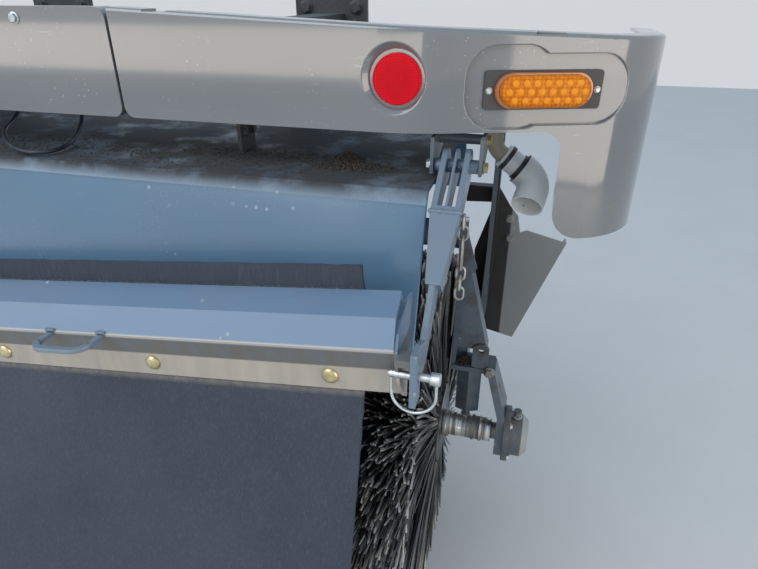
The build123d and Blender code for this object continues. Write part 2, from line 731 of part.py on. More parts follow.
fold = Polyline((gusset_in, gusset_y), (gusset_ridge, gusset_y - gusset_fold), (gusset_out, gusset_y),
                (gusset_out, gusset_y + gusset_plate), (gusset_ridge, gusset_y + gusset_plate - gusset_fold),
                (gusset_in, gusset_y + gusset_plate), close=True)
gusset = Pos(0, 0, hub_z + spool_r + 8) * extrude(make_face(fold), elbow_z - hub_z - spool_r - 8)
broom_arm = trail + upright + rear_face + side_lip + head + tie + stop_lug + drop + gusset
broom_arm -= rod(hub_shaft_r + running_gap, hub_plate_x - 20, hub_plate_out_x + 20, hub_y, hub_z)
save(broom_arm, "broom_arm_right")
save(mirrored(broom_arm), "broom_arm_left")
save(rod(torque_tube_r, -broom_arm_x, broom_arm_x, tube_y, tube_z), "broom_torque_tube")

# Hub motors: a flange against the plate, a body, a stepped cap and one port for the hose
body_x = hub_plate_out_x + motor_flange
cap_x = body_x + motor_body
motor = rod(motor_flange_r, hub_plate_out_x, body_x, hub_y, hub_z)
motor += rod(motor_r, body_x, cap_x, hub_y, hub_z)
motor += Pos(cap_x + motor_cap / 2, hub_y, hub_z) * Rot(0, 90, 0) * Cone(motor_r, motor_cap_r, motor_cap)
motor += Pos(body_x + motor_body / 2, hub_y, hub_z) * extrude(Circle(motor_port_r), motor_r + motor_port)
save(pair(motor), "hub_motors")

# Pivot brackets that hold the broom arms: a post down from each outrigger with a pin
outriggers = box(rail_centre_x + rail_width / 2, post_x + post_plate + outrigger_end,
                 outrigger_y, outrigger_front_y,
                 cross_bottom_z, cross_bottom_z + outrigger)
save(pair(outriggers), "side_outriggers")
post_front_y = deflector_y - deflector_thick
post = plate([(post_front_y, cross_bottom_z), (outrigger_y, cross_bottom_z), (outrigger_y, lift_z + 150),
              (lift_y - 34, lift_z + 40), (lift_y - 34, lift_z - 34), (post_front_y, lift_z - 34)],
             post_x, post_x + post_plate)
post += rod(lift_pin_r, broom_arm_x + 1, post_x + post_plate, lift_y, lift_z)
save(post, "broom_pivot_bracket_right")
save(mirrored(post), "broom_pivot_bracket_left")

# Side deflectors: a sheet outside the broom's front corner with a hem, and the stepped plate
# with a top flange that carries it from the strap
sheet = [(post_x + x, z) for x, z in deflector_sheet]
outer_top, outer_low = sheet[2], sheet[3]
deflector = cross_plate(sheet, deflector_y, deflector_thick)
deflector += cross_plate([(post_x + x, z) for x, z in deflector_plate], deflector_y, deflector_thick)
deflector += cross_plate([outer_top, outer_low, (outer_low[0] - deflector_thick, outer_low[1] + 2),
                          (outer_top[0] - deflector_thick, outer_top[1] + 2)],
                         deflector_y + deflector_hem, deflector_hem + deflector_thick)
flange_from, flange_to = deflector_plate[0], deflector_plate[1]
deflector += box(post_x + flange_from[0], post_x + flange_to[0], post_front_y - deflector_flange,
                 deflector_y, flange_from[1] - deflector_thick, flange_from[1])
strap_x = post_x + post_plate
deflector -= box(post_x - 1, strap_x + 1, post_front_y - deflector_flange - 1, post_front_y,
                 strap_foot_z, cross_bottom_z)
deflector += box(strap_x, strap_x + deflector_thick, outrigger_y, post_front_y, strap_foot_z, cross_bottom_z)
save(deflector, "side_deflector_right")
save(mirrored(deflector), "side_deflector_left")

# Vent pipe on the right: a thin pipe down from behind the bumper, a clamped sleeve that runs
# out and down, and a wide outlet elbow with its open mouth turned to the rear
foot = Vector(pipe_x, pipe_y, -pipe_drop)
bend = foot + Vector(outlet_offset[0], 0, outlet_offset[1])
mouth_end = bend + Vector(*outlet_reach)
sleeve_run = bend - foot
pipe_line = FilletPolyline((pipe_x, pipe_y, 0), foot, foot + sleeve_run * 0.4, radius=pipe_bend_r)
pipe = sweep(Plane(origin=pipe_line @ 0, z_dir=pipe_line % 0) * Circle(pipe_r), path=pipe_line)
for at, radius, length in [(0.22, sleeve_r, 0.52), (0.27, sleeve_band_r, None), (0.55, sleeve_band_r, None)]:
    # place along the run, radius, and length as a share of the run or one band
    tall = sleeve_band if length is None else length * sleeve_run.length
    ring = Plane(origin=foot + sleeve_run * at, z_dir=sleeve_run)
    pipe += ring * extrude(Circle(radius), tall)
outlet_line = FilletPolyline(foot + sleeve_run * 0.62, bend, mouth_end, radius=outlet_bend_r)
outlet_start = Plane(origin=outlet_line @ 0, z_dir=outlet_line % 0)
outlet = sweep(outlet_start * Circle(outlet_r), path=outlet_line)
bore_line = FilletPolyline(foot + sleeve_run * 0.66, bend, mouth_end + Vector(*outlet_reach) * 0.2,
                           radius=outlet_bend_r)
bore_start = Plane(origin=bore_line @ 0, z_dir=bore_line % 0)
outlet -= sweep(bore_start * Circle(outlet_r - outlet_wall), path=bore_line)
pipe += outlet
save(pipe, "vent_pipe")
pipe_clamp = box(pipe_x - 15, pipe_x + 15, rail_rear_y, pipe_y - pipe_r - 3, clamp_z, clamp_z + clamp_height)
pipe_clamp += Pos(pipe_x, pipe_y, clamp_z) * extrude(Circle(pipe_r + 5), clamp_height)
pipe_clamp -= Pos(pipe_x, pipe_y, clamp_z - 1) * extrude(Circle(pipe_r + 0.2), clamp_height + 2)
save(pipe_clamp, "pipe_bracket")

# Cable that hangs in a loop under the middle of the bumper, between two glands
gland_z = cross_bottom_z - gland_length
right_gland_x, left_gland_x = gland_x
cable_points = [(right_gland_x, gland_y, gland_z), (42, -560, -102), (42.5, -564, -115), (45, -575, -128),
                (52, -595, -139), (64, -625, -146.5), (78, -660, -150.5), (82, -697, -152), (66, -718, -152.5),
                (36, -724, -152), (2, -716, -149), (-32, -697, -144), (-64, -672, -138), (-88, -646, -133),
                (-104, -620, -129.5), (-115, -597, -126.5), (-122, -579, -121.5), (-124.5, -567, -112.5),
                (-125, -560, -101), (left_gland_x, gland_y, gland_z)]


def bend_radii(points):
    radii = []
    for before, here, after in zip(points, points[1:], points[2:]):
        a = Vector(*here) - Vector(*before)
        b = Vector(*after) - Vector(*here)
        turn = math.radians(a.get_angle(b))
        radii.append(0.45 * min(a.length, b.length) / math.tan(turn / 2))
    return radii


cable_radii = bend_radii(cable_points)
print("cable radii", [round(r, 1) for r in cable_radii])
cable_line = FilletPolyline(*cable_points, radius=cable_radii)
cable_section = Plane(origin=cable_line @ 0, z_dir=cable_line % 0) * RegularPolygon(cable_r, 8)
cable = sweep(cable_section, path=cable_line)
print("cable length", round(cable_line.length, 1))
print("cable volume over section times length",
      round(cable.volume / (cable_section.area * cable_line.length), 4))
save(cable, "cable_loop")
glands = [Pos(x, gland_y, gland_z) * extrude(RegularPolygon(gland_r, 6), gland_length) for x in gland_x]
save(Compound(children=glands), "cable_glands")
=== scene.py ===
import math
import random

import bmesh
import bpy
from mathutils import Matrix, Vector
from mathutils import noise as mesh_noise


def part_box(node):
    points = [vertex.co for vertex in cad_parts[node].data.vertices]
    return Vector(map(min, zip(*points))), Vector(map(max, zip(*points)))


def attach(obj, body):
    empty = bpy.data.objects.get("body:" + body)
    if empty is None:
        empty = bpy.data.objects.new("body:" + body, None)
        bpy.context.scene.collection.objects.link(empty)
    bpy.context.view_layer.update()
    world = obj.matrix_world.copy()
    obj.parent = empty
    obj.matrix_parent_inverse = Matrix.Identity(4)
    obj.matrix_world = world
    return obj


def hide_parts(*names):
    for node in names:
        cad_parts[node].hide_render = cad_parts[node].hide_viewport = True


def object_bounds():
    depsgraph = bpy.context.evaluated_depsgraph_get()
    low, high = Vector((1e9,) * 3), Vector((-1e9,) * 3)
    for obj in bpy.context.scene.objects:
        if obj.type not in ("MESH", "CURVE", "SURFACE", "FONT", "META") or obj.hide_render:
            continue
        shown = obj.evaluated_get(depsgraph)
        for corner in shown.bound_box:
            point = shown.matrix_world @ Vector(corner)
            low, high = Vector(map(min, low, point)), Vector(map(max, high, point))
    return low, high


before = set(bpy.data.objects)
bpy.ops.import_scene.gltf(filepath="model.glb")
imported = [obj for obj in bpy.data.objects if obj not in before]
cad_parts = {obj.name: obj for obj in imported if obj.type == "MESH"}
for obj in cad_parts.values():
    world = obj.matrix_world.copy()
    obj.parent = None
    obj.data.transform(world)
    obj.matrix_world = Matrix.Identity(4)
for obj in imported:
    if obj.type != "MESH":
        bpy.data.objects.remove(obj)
cad_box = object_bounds()
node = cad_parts

# The camera stands behind the machine's right rear corner, a little above the bumper, and
# looks down and forward over the flap, as a person does who leans in to see the broom.
camera_data = bpy.data.cameras.new("camera")
camera_data.lens = 27.07
camera_data.sensor_width = 36.0
camera = bpy.data.objects.new("camera", camera_data)
bpy.context.scene.collection.objects.link(camera)
camera_right = Vector((0.9659, 0.2588, 0.0))
camera_back = Vector((0.2300, -0.8583, 0.4586)).normalized()
camera_up = camera_back.cross(camera_right).normalized()
camera.matrix_world = Matrix.Translation((0.993, -1.62, 0.13)) @ Matrix(
    (camera_right, camera_up, camera_back)).transposed().to_4x4()
camera_data.clip_end = 60
bpy.context.scene.camera = camera


# Cable loop: a black rubber lead, 8 mm thick, that leaves one gland under the cross member,
# sags to just above the hood's deck and goes back up into the other gland.
def link_piece(name, data):
    piece = bpy.data.objects.new(name, data)
    bpy.context.scene.collection.objects.link(piece)
    return piece


def put(tree, kind, inputs=None, **settings):
    """Adds a node, sets what it is told, and links or fills its inputs by name or by number."""
    new = tree.nodes.new(kind)
    for key, value in settings.items():
        setattr(new, key, value)
    for key, value in (inputs or {}).items():
        socket = new.inputs[key]
        if isinstance(value, bpy.types.NodeSocket):
            tree.links.new(value, socket)
        else:
            socket.default_value = value
    return new


def material(name, color, roughness, **values):
    """A material with its shader set to plain values, and the object's own coordinates at hand."""
    made = bpy.data.materials.new(name)
    made.use_nodes = True
    tree = made.node_tree
    shader = tree.nodes["Principled BSDF"]
    shader.inputs["Base Color"].default_value = (*color, 1)
    shader.inputs["Roughness"].default_value = roughness
    for key, value in values.items():
        shader.inputs[key.replace("_", " ").title().replace("Ior", "IOR")].default_value = value
    place = put(tree, "ShaderNodeTexCoord").outputs["Object"]
    return made, tree, shader, place


def noise(tree, place, scale, detail=4.0, roughness=0.55):
    return put(tree, "ShaderNodeTexNoise", {"Vector": place, "Scale": scale, "Detail": detail,
                                            "Roughness": roughness}).outputs["Fac"]


def ramp(tree, value, low, high, out_low=0.0, out_high=1.0):
    return put(tree, "ShaderNodeMapRange", {"Value": value, "From Min": low, "From Max": high,
                                            "To Min": out_low, "To Max": out_high}).outputs["Result"]


def blend(tree, mask, first, second):
    """Mixes two colours by a mask; a colour is a socket or three numbers."""
    mix = put(tree, "ShaderNodeMix", {"Factor": mask}, data_type="RGBA")
    for index, value in ((6, first), (7, second)):
        if isinstance(value, bpy.types.NodeSocket):
            tree.links.new(value, mix.inputs[index])
        else:
            mix.inputs[index].default_value = (*value, 1)
    return mix.outputs[2]


def bump(tree, shader, height, strength, distance):
    made = put(tree, "ShaderNodeBump", {"Height": height, "Strength": strength, "Distance": distance})
    tree.links.new(made.outputs["Normal"], shader.inputs["Normal"])


cable_radius = 0.004
cable_black = (0.012, 0.016, 0.03)
cable_route = [
    (0.042, -0.560, -0.089), (0.042, -0.560, -0.102), (0.0425, -0.564, -0.115),
    (0.045, -0.575, -0.128), (0.052, -0.595, -0.139), (0.064, -0.625, -0.1465),
    (0.078, -0.660, -0.1505), (0.082, -0.697, -0.152), (0.066, -0.718, -0.1525),
    (0.036, -0.724, -0.152), (0.002, -0.716, -0.149), (-0.032, -0.697, -0.144),
    (-0.064, -0.672, -0.138), (-0.088, -0.646, -0.133), (-0.104, -0.620, -0.1295),
    (-0.115, -0.597, -0.1265), (-0.122, -0.579, -0.1215), (-0.1245, -0.567, -0.1125),
    (-0.125, -0.560, -0.101), (-0.125, -0.560, -0.089)]
cable_data = bpy.data.curves.new("cable", "CURVE")
cable_data.dimensions = "3D"
cable_data.bevel_depth = cable_radius
cable_data.bevel_resolution = 4
cable_data.use_fill_caps = True
cable_line = cable_data.splines.new("NURBS")
cable_line.points.add(len(cable_route) - 1)
for point, place in zip(cable_line.points, cable_route):
    point.co = (*place, 1)
cable_line.order_u = 3
cable_line.use_endpoint_u = True
cable_line.resolution_u = 12
cable = link_piece("cable", cable_data)
cable_rubber, tree, shader, place = material("cable_rubber", cable_black, 0.42)
handled = ramp(tree, noise(tree, place, 60), 0.45, 0.8, 0, 0.35)
tree.links.new(blend(tree, handled, cable_black, (0.10, 0.10, 0.095)), shader.inputs["Base Color"])
bump(tree, shader, noise(tree, place, 900), 0.2, 0.0003)
cable_data.materials.append(cable_rubber)
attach(cable, "root")
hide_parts("cable_loop")

# Studio: a pale floor that the broom stands just above, a pale world that is cooler overhead,
# two large soft lamps, and a low warm one that is mirrored along the bumper.
floor_z = cad_box[0].z - 0.004
floor_half = 9
floor_mesh = bpy.data.meshes.new("floor")
floor_mesh.from_pydata([(x * floor_half, y * floor_half, floor_z) for x, y in
                        ((-1, -1), (1, -1), (1, 1), (-1, 1))], [], [(0, 1, 2, 3)])
floor = link_piece("floor", floor_mesh)
floor_paint, tree, shader, place = material("floor_paint", (0.62, 0.61, 0.59), 0.75)
tree.links.new(blend(tree, noise(tree, place, 3), (0.60, 0.59, 0.565), (0.66, 0.65, 0.62)),
               shader.inputs["Base Color"])
floor_mesh.materials.append(floor_paint)


def along_axis(tree, vector, letter):
    return put(tree, "ShaderNodeSeparateXYZ", {0: vector}).outputs[letter]


world = bpy.data.worlds.new("studio")
world.use_nodes = True
tree = world.node_tree
background = tree.nodes["Background"]
upward = along_axis(tree, put(tree, "ShaderNodeTexCoord").outputs["Generated"], "Z")
pale_sky = (0.82, 0.85, 0.89)
cool_sky = (0.64, 0.80, 1.0)
tree.links.new(blend(tree, ramp(tree, upward, 0.0, 0.7), pale_sky, cool_sky), background.inputs["Color"])
background.inputs["Strength"].default_value = 0.78
bpy.context.scene.world = world
bpy.context.scene.view_settings.view_transform = "Standard"


def soft_lamp(name, place, target, size, watts, color):
    data = bpy.data.lights.new(name, "AREA")
    data.shape = "RECTANGLE"
    data.size = size[0]
    data.size_y = size[1]
    data.energy = watts
    data.color = color
    lamp = link_piece(name, data)
    lamp.location = place
    lamp.rotation_euler = (Vector(target) - Vector(place)).to_track_quat("-Z", "Y").to_euler()
    lamp.visible_camera = False


cool_white = (0.90, 0.95, 1.0)
soft_lamp("key_lamp", (-2.6, -4.2, 3.4), (0.2, -0.7, -0.4), (6.0, 5.0), 210, cool_white)
soft_lamp("side_lamp", (3.9, -2.6, -0.05), (1.1, -0.6, -0.1), (2.4, 2.3), 36, (1.0, 0.89, 0.76))
soft_lamp("low_lamp", (-1.7, -4.2, -0.30), (-1.7, -0.7, -0.1), (6.6, 0.36), 16, (1.0, 0.90, 0.76))


# Chassis stub: the two frame rails with their bolting flanges, the rear cross member, the
# bumper's flat bars, the hood's hangers and the outriggers, all rolled steel in near-black paint
# that is made darker still as painted shade under the bumper.
def mask_group(name, inputs):
    """An empty group of shader nodes that takes coordinates and named numbers and gives a mask."""
    group = bpy.data.node_groups.new(name, "ShaderNodeTree")
    group.interface.new_socket("Place", in_out="INPUT", socket_type="NodeSocketVector")
    for label, value in inputs.items():
        made = group.interface.new_socket(label, in_out="INPUT", socket_type="NodeSocketFloat")
        made.default_value = value
    group.interface.new_socket("Mask", in_out="OUTPUT", socket_type="NodeSocketFloat")
    return group, group.nodes.new("NodeGroupInput").outputs, group.nodes.new("NodeGroupOutput").inputs


def use_mask(tree, group, place, **values):
    inputs = {"Place": place}
    inputs.update({key.title(): value for key, value in values.items()})
    return put(tree, "ShaderNodeGroup", inputs, node_tree=group).outputs["Mask"]


def reckon(tree, operation, first, second, clamp=False):
    return put(tree, "ShaderNodeMath", {0: first, 1: second}, operation=operation,
               use_clamp=clamp).outputs["Value"]


def times(tree, first, second):
    """Two masks multiplied, and kept between zero and one."""
    return reckon(tree, "MULTIPLY", first, second, clamp=True)


# Road dust: it lies on what faces up, in clouds, with fine speckle, thinner on upright faces
dust_group, given, gives = mask_group("road_dust", {"Amount": 0.5, "Scale": 4.0, "Upright": 0.3})
facing = along_axis(dust_group, put(dust_group, "ShaderNodeTexCoord").outputs["Normal"], "Z")
lying = reckon(dust_group, "MAXIMUM", ramp(dust_group, facing, 0.0, 0.9), given["Upright"], clamp=True)
cloud = ramp(dust_group, noise(dust_group, given["Place"], given["Scale"], 8.0, 0.65), 0.35, 0.72)
speckle = ramp(dust_group, noise(dust_group, given["Place"], 160.0, 3.0), 0.42, 0.75, 0.55, 1.3)
settled = reckon(dust_group, "MULTIPLY", times(dust_group, lying, cloud), speckle)
dust_group.links.new(times(dust_group, settled, given["Amount"]), gives["Mask"])

# Chips: small sharp-edged spots where the paint has come off
chip_group, given, gives = mask_group("paint_chips", {"Scale": 40.0, "Amount": 0.5})
cells = put(chip_group, "ShaderNodeTexVoronoi",
            {"Vector": given["Place"], "Scale": given["Scale"], "Randomness": 1.0}).outputs["Distance"]
patch = ramp(chip_group, noise(chip_group, given["Place"], 6.0, 3.0), 0.52, 0.62)
spot = ramp(chip_group, cells, 0.16, 0.10)
chip_group.links.new(times(chip_group, times(chip_group, spot, patch), given["Amount"]), gives["Mask"])

# Scuffs: fine long scratches, here and there
scuff_group, given, gives = mask_group("scuffs", {"Scale": 8.0, "Stretch": 14.0, "Amount": 0.5})
stretch = put(scuff_group, "ShaderNodeCombineXYZ", {0: 1.0, 1: given["Stretch"], 2: given["Stretch"]})
drawn_out = put(scuff_group, "ShaderNodeMapping", {"Vector": given["Place"], "Rotation": (0.3, 0.2, 0.5),
                                                   "Scale": stretch.outputs[0]}).outputs[0]
lines = ramp(scuff_group, noise(scuff_group, drawn_out, given["Scale"], 5.0, 0.7), 0.62, 0.70)
here = ramp(scuff_group, noise(scuff_group, given["Place"], 5.0), 0.45, 0.65)
scuff_group.links.new(times(scuff_group, times(scuff_group, lines, here), given["Amount"]), gives["Mask"])

dust_color = (0.205, 0.195, 0.175)


def paint(name, color, roughness, dust, upright, chips, coat, bare=(0.32, 0.31, 0.29), cloud=4.0):
    """Sprayed enamel on steel: slow changes of tone, orange peel, scuffs, chips to the bare
    metal, and road dust, of which the upright faces keep a part."""
    made, tree, shader, place = material(name, color, roughness, coat_weight=coat, coat_roughness=0.12)
    shade = tuple(c * 0.80 for c in color)
    light = tuple(c * 1.16 for c in color)
    rubbed = tuple(min(1, c * 1.7 + 0.03) for c in color)
    tint = blend(tree, noise(tree, place, 2.2, 3.0), shade, light)
    tint = blend(tree, use_mask(tree, scuff_group, place, amount=0.35), tint, rubbed)
    tint = blend(tree, use_mask(tree, chip_group, place, amount=chips), tint, bare)
    dusty = use_mask(tree, dust_group, place, amount=dust, upright=upright, scale=cloud)
    tree.links.new(blend(tree, dusty, tint, dust_color), shader.inputs["Base Color"])
    tree.links.new(ramp(tree, dusty, 0, 0.8, roughness, 0.85), shader.inputs["Roughness"])
    tree.links.new(ramp(tree, dusty, 0, 0.5, coat, 0), shader.inputs["Coat Weight"])
    bump(tree, shader, noise(tree, place, 260.0, 2.0), 0.06, 0.0006)
    return made


def soften(name, width, segments=2):
    """Rounds a steel node's sawn edges, as deburred plate is."""
    weld = node[name].modifiers.new("weld", "WELD")
    weld.merge_threshold = 0.00005
    bevel = node[name].modifiers.new("edges", "BEVEL")
    bevel.width = width
    bevel.segments = segments
    bevel.limit_method = "ANGLE"
    bevel.angle_limit = math.radians(32)
    bevel.use_clamp_overlap = True


def finish_nodes(names, made, edge=0):
    """Gives CAD nodes their finish, and rounds their edges where an edge radius is given."""
    for name in names:
        for slot in node[name].material_slots:
            slot.material = made
        if edge:
            soften(name, edge)


# The chassis paint is darkened as painted shade, so parts under the bumper don't stand out
chassis_paint = paint("chassis_paint", (0.030, 0.034, 0.038), 0.55, dust=0.6, upright=0.35, chips=0.6,
                      coat=0.1, bare=(0.12, 0.11, 0.10))
finish_nodes(["chassis_rail_right", "chassis_rail_left", "rear_cross_member", "bumper_brackets",
              "hood_hangers", "side_outriggers"], chassis_paint)

# Bumper: three sections moulded in glossy mid-grey plastic over the steel bars. It is scuffed
# low down, dusty on top, and each section ends in a rounded corner at the dark seam.
def moulding(name, color):
    """Self-coloured plastic under a hard clear coat, with scuffs, pale specks and dust."""
    gloss = 0.2
    made, tree, shader, place = material(name, color, gloss, coat_weight=1.0, coat_roughness=0.06,
                                         coat_ior=1.9)
    shade = tuple(c * 0.86 for c in color)
    light = tuple(c * 1.12 for c in color)
    tone = blend(tree, noise(tree, place, 1.6, 3.0), shade, light)
    scuffed = use_mask(tree, scuff_group, place, amount=0.3, scale=6.0)
    tone = blend(tree, scuffed, tone, (0.46, 0.455, 0.44))
    specks = use_mask(tree, chip_group, place, amount=0.5, scale=95.0)
    tone = blend(tree, specks, tone, (0.50, 0.49, 0.46))
    dusty = use_mask(tree, dust_group, place, amount=0.45, upright=0.10, scale=3.0)
    tree.links.new(blend(tree, dusty, tone, dust_color), shader.inputs["Base Color"])
    tree.links.new(ramp(tree, dusty, 0, 0.8, gloss, 0.8), shader.inputs["Roughness"])
    tree.links.new(ramp(tree, dusty, 0, 0.6, 0.9, 0.1), shader.inputs["Coat Weight"])
    bump(tree, shader, noise(tree, place, 5.0, 1.0), 0.35, 0.004)
    return made


finish_nodes(["bumper_right", "bumper_left", "bumper_center"], moulding("bumper_gel", (0.155, 0.16, 0.165)))

# Screws and bolts: hexagon heads with a chamfered top on a round washer, in bright, dull or
# yellow zinc or painted over. They hold the bumper's centre, the flanges and the hangers.
def plain_mesh(name, vertices, faces):
    made = bpy.data.meshes.new(name)
    made.from_pydata([tuple(v) for v in vertices], [], faces)
    made.update()
    return made


def repeat_tree(name, made):
    """Sets one shape on each point of a carrier mesh, its own Z along the point's "axis", with
    a seeded size, turn and "tone", and makes it real mesh with one material."""
    tree = bpy.data.node_groups.new(name, "GeometryNodeTree")
    for label, kind in (("Geometry", "Geometry"), ("Shape", "Object"), ("Size", "Float"),
                        ("Size spread", "Float"), ("Turn spread", "Float"), ("Seed", "Int")):
        tree.interface.new_socket(label, in_out="INPUT", socket_type="NodeSocket" + kind)
    tree.interface.new_socket("Geometry", in_out="OUTPUT", socket_type="NodeSocketGeometry")
    given = put(tree, "NodeGroupInput").outputs

    def between(low, high):
        return put(tree, "FunctionNodeRandomValue", {2: low, 3: high, "Seed": given["Seed"]},
                   data_type="FLOAT").outputs[1]

    axis = put(tree, "GeometryNodeInputNamedAttribute", {"Name": "axis"}, data_type="FLOAT_VECTOR")
    aim = put(tree, "FunctionNodeAlignEulerToVector", {"Vector": axis.outputs[0]}, axis="Z").outputs[0]
    least = reckon(tree, "SUBTRACT", given["Size"], given["Size spread"])
    most = reckon(tree, "ADD", given["Size"], given["Size spread"])
    shape = put(tree, "GeometryNodeObjectInfo", {"Object": given["Shape"]}).outputs["Geometry"]
    placed = put(tree, "GeometryNodeInstanceOnPoints",
                 {"Points": given["Geometry"], "Instance": shape, "Rotation": aim,
                  "Scale": between(least, most)})
    about = put(tree, "ShaderNodeCombineXYZ", {2: between(0.0, given["Turn spread"])}).outputs[0]
    turned = put(tree, "GeometryNodeRotateInstances", {"Instances": placed.outputs[0], "Rotation": about})
    toned = put(tree, "GeometryNodeStoreNamedAttribute", {"Geometry": turned.outputs[0], "Name": "tone"},
                data_type="FLOAT", domain="INSTANCE")
    tree.links.new(between(0.0, 1.0), next(i for i in toned.inputs if i.name == "Value" and i.enabled))
    real = put(tree, "GeometryNodeRealizeInstances", {0: toned.outputs[0]})
    dressed = put(tree, "GeometryNodeSetMaterial", {"Geometry": real.outputs[0], "Material": made})
    put(tree, "NodeGroupOutput", {0: dressed.outputs[0]})
    return tree


def settle(piece, tree, **values):
    """Runs a tree on a piece, keeps the result as its plain mesh, and takes the modifier off."""
    change = piece.modifiers.new("nodes", "NODES")
    change.node_group = tree
    for item in tree.interface.items_tree:
        key = item.name.lower().replace(" ", "_")
        if item.item_type == "SOCKET" and item.in_out == "INPUT" and key in values:
            change[item.identifier] = values[key]
    bpy.context.view_layer.update()
    result = bpy.data.meshes.new_from_object(
        piece.evaluated_get(bpy.context.evaluated_depsgraph_get()))
    piece.modifiers.clear()
    piece.data = result
    return piece


def carrier(name, places, axes):
    """The mesh of points that a tree sets its shapes on."""
    data = plain_mesh(name, places, [])
    stored = data.attributes.new("axis", "FLOAT_VECTOR", "POINT")
    for value, axis in zip(stored.data, axes):
        value.vector = axis
    return link_piece(name, data)


def lathe(profile, count):
    """Vertices and faces of a closed shape turned about Z from (radius, height) points."""
    vertices = []
    faces = []
    for radius, height in profile:
        for i in range(count):
            angle = 2 * math.pi * i / count
            vertices.append((radius * math.cos(angle), radius * math.sin(angle), height))
    for ring in range(len(profile) - 1):
        for i in range(count):
            a = ring * count + i
            b = ring * count + (i + 1) % count
            faces.append((a, b, b + count, a + count))
    faces.append(tuple(reversed(range(count))))
    last = (len(profile) - 1) * count
    faces.append(tuple(range(last, last + count)))
    return vertices, faces


def join_pieces(name, meshes):
    """One mesh from several lists of vertices and faces."""
    vertices = []
    faces = []
    for more, more_faces in meshes:
        shift = len(vertices)
        vertices += [tuple(v) for v in more]
        faces += [tuple(i + shift for i in face) for face in more_faces]
    return plain_mesh(name, vertices, faces)


def hidden_shape(name, meshes):
    """A shape for a tree to repeat; it is in no collection, so it doesn't show by itself."""
    return bpy.data.objects.new(name, join_pieces(name, meshes))


def smooth_by_angle(data, degrees):
    data.shade_smooth()
    data.set_sharp_from_angle(angle=math.radians(degrees))


def metal(name, color, roughness, tarnish, dirt=0.25):
    """Plated or bare steel: uneven sheen, darker tarnish and a little dry dirt."""
    made, tree, shader, place = material(name, color, roughness, metallic=1.0)
    dull = ramp(tree, noise(tree, place, 45.0, 5.0), 0.38, 0.68)
    tone = blend(tree, dull, color, tarnish)
    dirty = use_mask(tree, dust_group, place, amount=dirt, upright=0.5, scale=26.0)
    tree.links.new(blend(tree, dirty, tone, (0.13, 0.11, 0.085)), shader.inputs["Base Color"])
    tree.links.new(ramp(tree, dirty, 0, 0.6, 1.0, 0), shader.inputs["Metallic"])
    tree.links.new(ramp(tree, dull, 0, 1, roughness, min(1, roughness + 0.25)), shader.inputs["Roughness"])
    bump(tree, shader, noise(tree, place, 420.0, 3.0), 0.12, 0.0004)
    return made


washer = lathe([(0.62, 0.0), (0.62, 0.08), (0.58, 0.10)], 18)
hex_head = hidden_shape("hex_head", [washer, lathe([(0.5, 0.10), (0.5, 0.36), (0.42, 0.42)], 6)])
zinc = metal("bright_zinc", (0.66, 0.68, 0.68), 0.3, (0.36, 0.37, 0.37))
yellow_zinc = metal("yellow_zinc", (0.62, 0.50, 0.24), 0.32, (0.33, 0.27, 0.15))
zinc_bolts = repeat_tree("zinc_bolts", zinc)
yellow_bolts = repeat_tree("yellow_bolts", yellow_zinc)
painted_bolts = repeat_tree("painted_bolts", chassis_paint)
dull_zinc = metal("dull_zinc", (0.36, 0.36, 0.34), 0.5, (0.17, 0.16, 0.14), dirt=0.5)
dull_bolts = repeat_tree("dull_bolts", dull_zinc)


def bolts(name, body, tree, size, places):
    """Hexagon bolts at (place, axis) pairs of the right side, and their like on the left one;
    the size is a head's width across its corners."""
    pairs = places + [((-p[0], p[1], p[2]), (-a[0], a[1], a[2])) for p, a in places]
    piece = carrier(name, [p for p, a in pairs], [a for p, a in pairs])
    settle(piece, tree, shape=hex_head, size=size, size_spread=0.0, turn_spread=3.1, seed=4)
    smooth_by_angle(piece.data, 35)
    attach(piece, body)


right_face = (1.0, 0.0, 0.0)
rear_face = (0.0, -1.0, 0.0)
up_face = (0.0, 0.0, 1.0)
down_face = (0.0, 0.0, -1.0)
bumper_rear_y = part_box("bumper_center")[0].y
screw_places = [((0.049, bumper_rear_y, 0.085), rear_face)]
flange_places = [((x, -0.016, z), rear_face) for x in (0.36, 0.50) for z in (-0.09, 0.09)]
hanger_places = [((0.434, y + dy, -0.12), right_face) for y in (-0.56, -0.30) for dy in (-0.018, 0.018)]
bolts("bumper_screws", "root", zinc_bolts, 0.017, screw_places)
bolts("flange_bolts", "root", painted_bolts, 0.030, flange_places)
# The hanger bolts wear the chassis paint, and so its painted shade
bolts("hanger_bolts", "root", painted_bolts, 0.018, hanger_places)

# Reflectors: round red acrylic discs, 81 mm across, stuck in the bumper's dishes, with a
# plain rim and a moulded field of small prisms.
reflector_low, reflector_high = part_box("rear_reflectors")
red_lens, tree, shader, place = material("red_acrylic", (0.97, 0.002, 0.018), 0.45, specular_ior_level=0.12)
prisms = put(tree, "ShaderNodeTexVoronoi", {"Vector": place, "Scale": 260.0, "Randomness": 0.0},
             feature="F1").outputs["Distance"]
glow = blend(tree, ramp(tree, prisms, 0.15, 0.6), (0.95, 0.004, 0.022), (0.55, 0.002, 0.010))
dusty = use_mask(tree, dust_group, place, amount=0.2, upright=0.08, scale=20.0)
tree.links.new(blend(tree, dusty, glow, dust_color), shader.inputs["Base Color"])
bump(tree, shader, prisms, 0.35, 0.0008)
reflector_radius = (reflector_high.z - reflector_low.z) / 2
reflector_x = reflector_high.x - reflector_radius
reflector_z = (reflector_low.z + reflector_high.z) / 2
disc_height = reflector_high.y - reflector_low.y
disc_profile = [(1.0, 0.0), (1.0, 0.62), (0.985, 0.78), (0.955, 0.84), (0.945, 0.74), (0.93, 0.74),
                (0.925, 0.88), (0.7, 0.95), (0.35, 0.99), (0.02, 1.0)]  # shares of radius and height


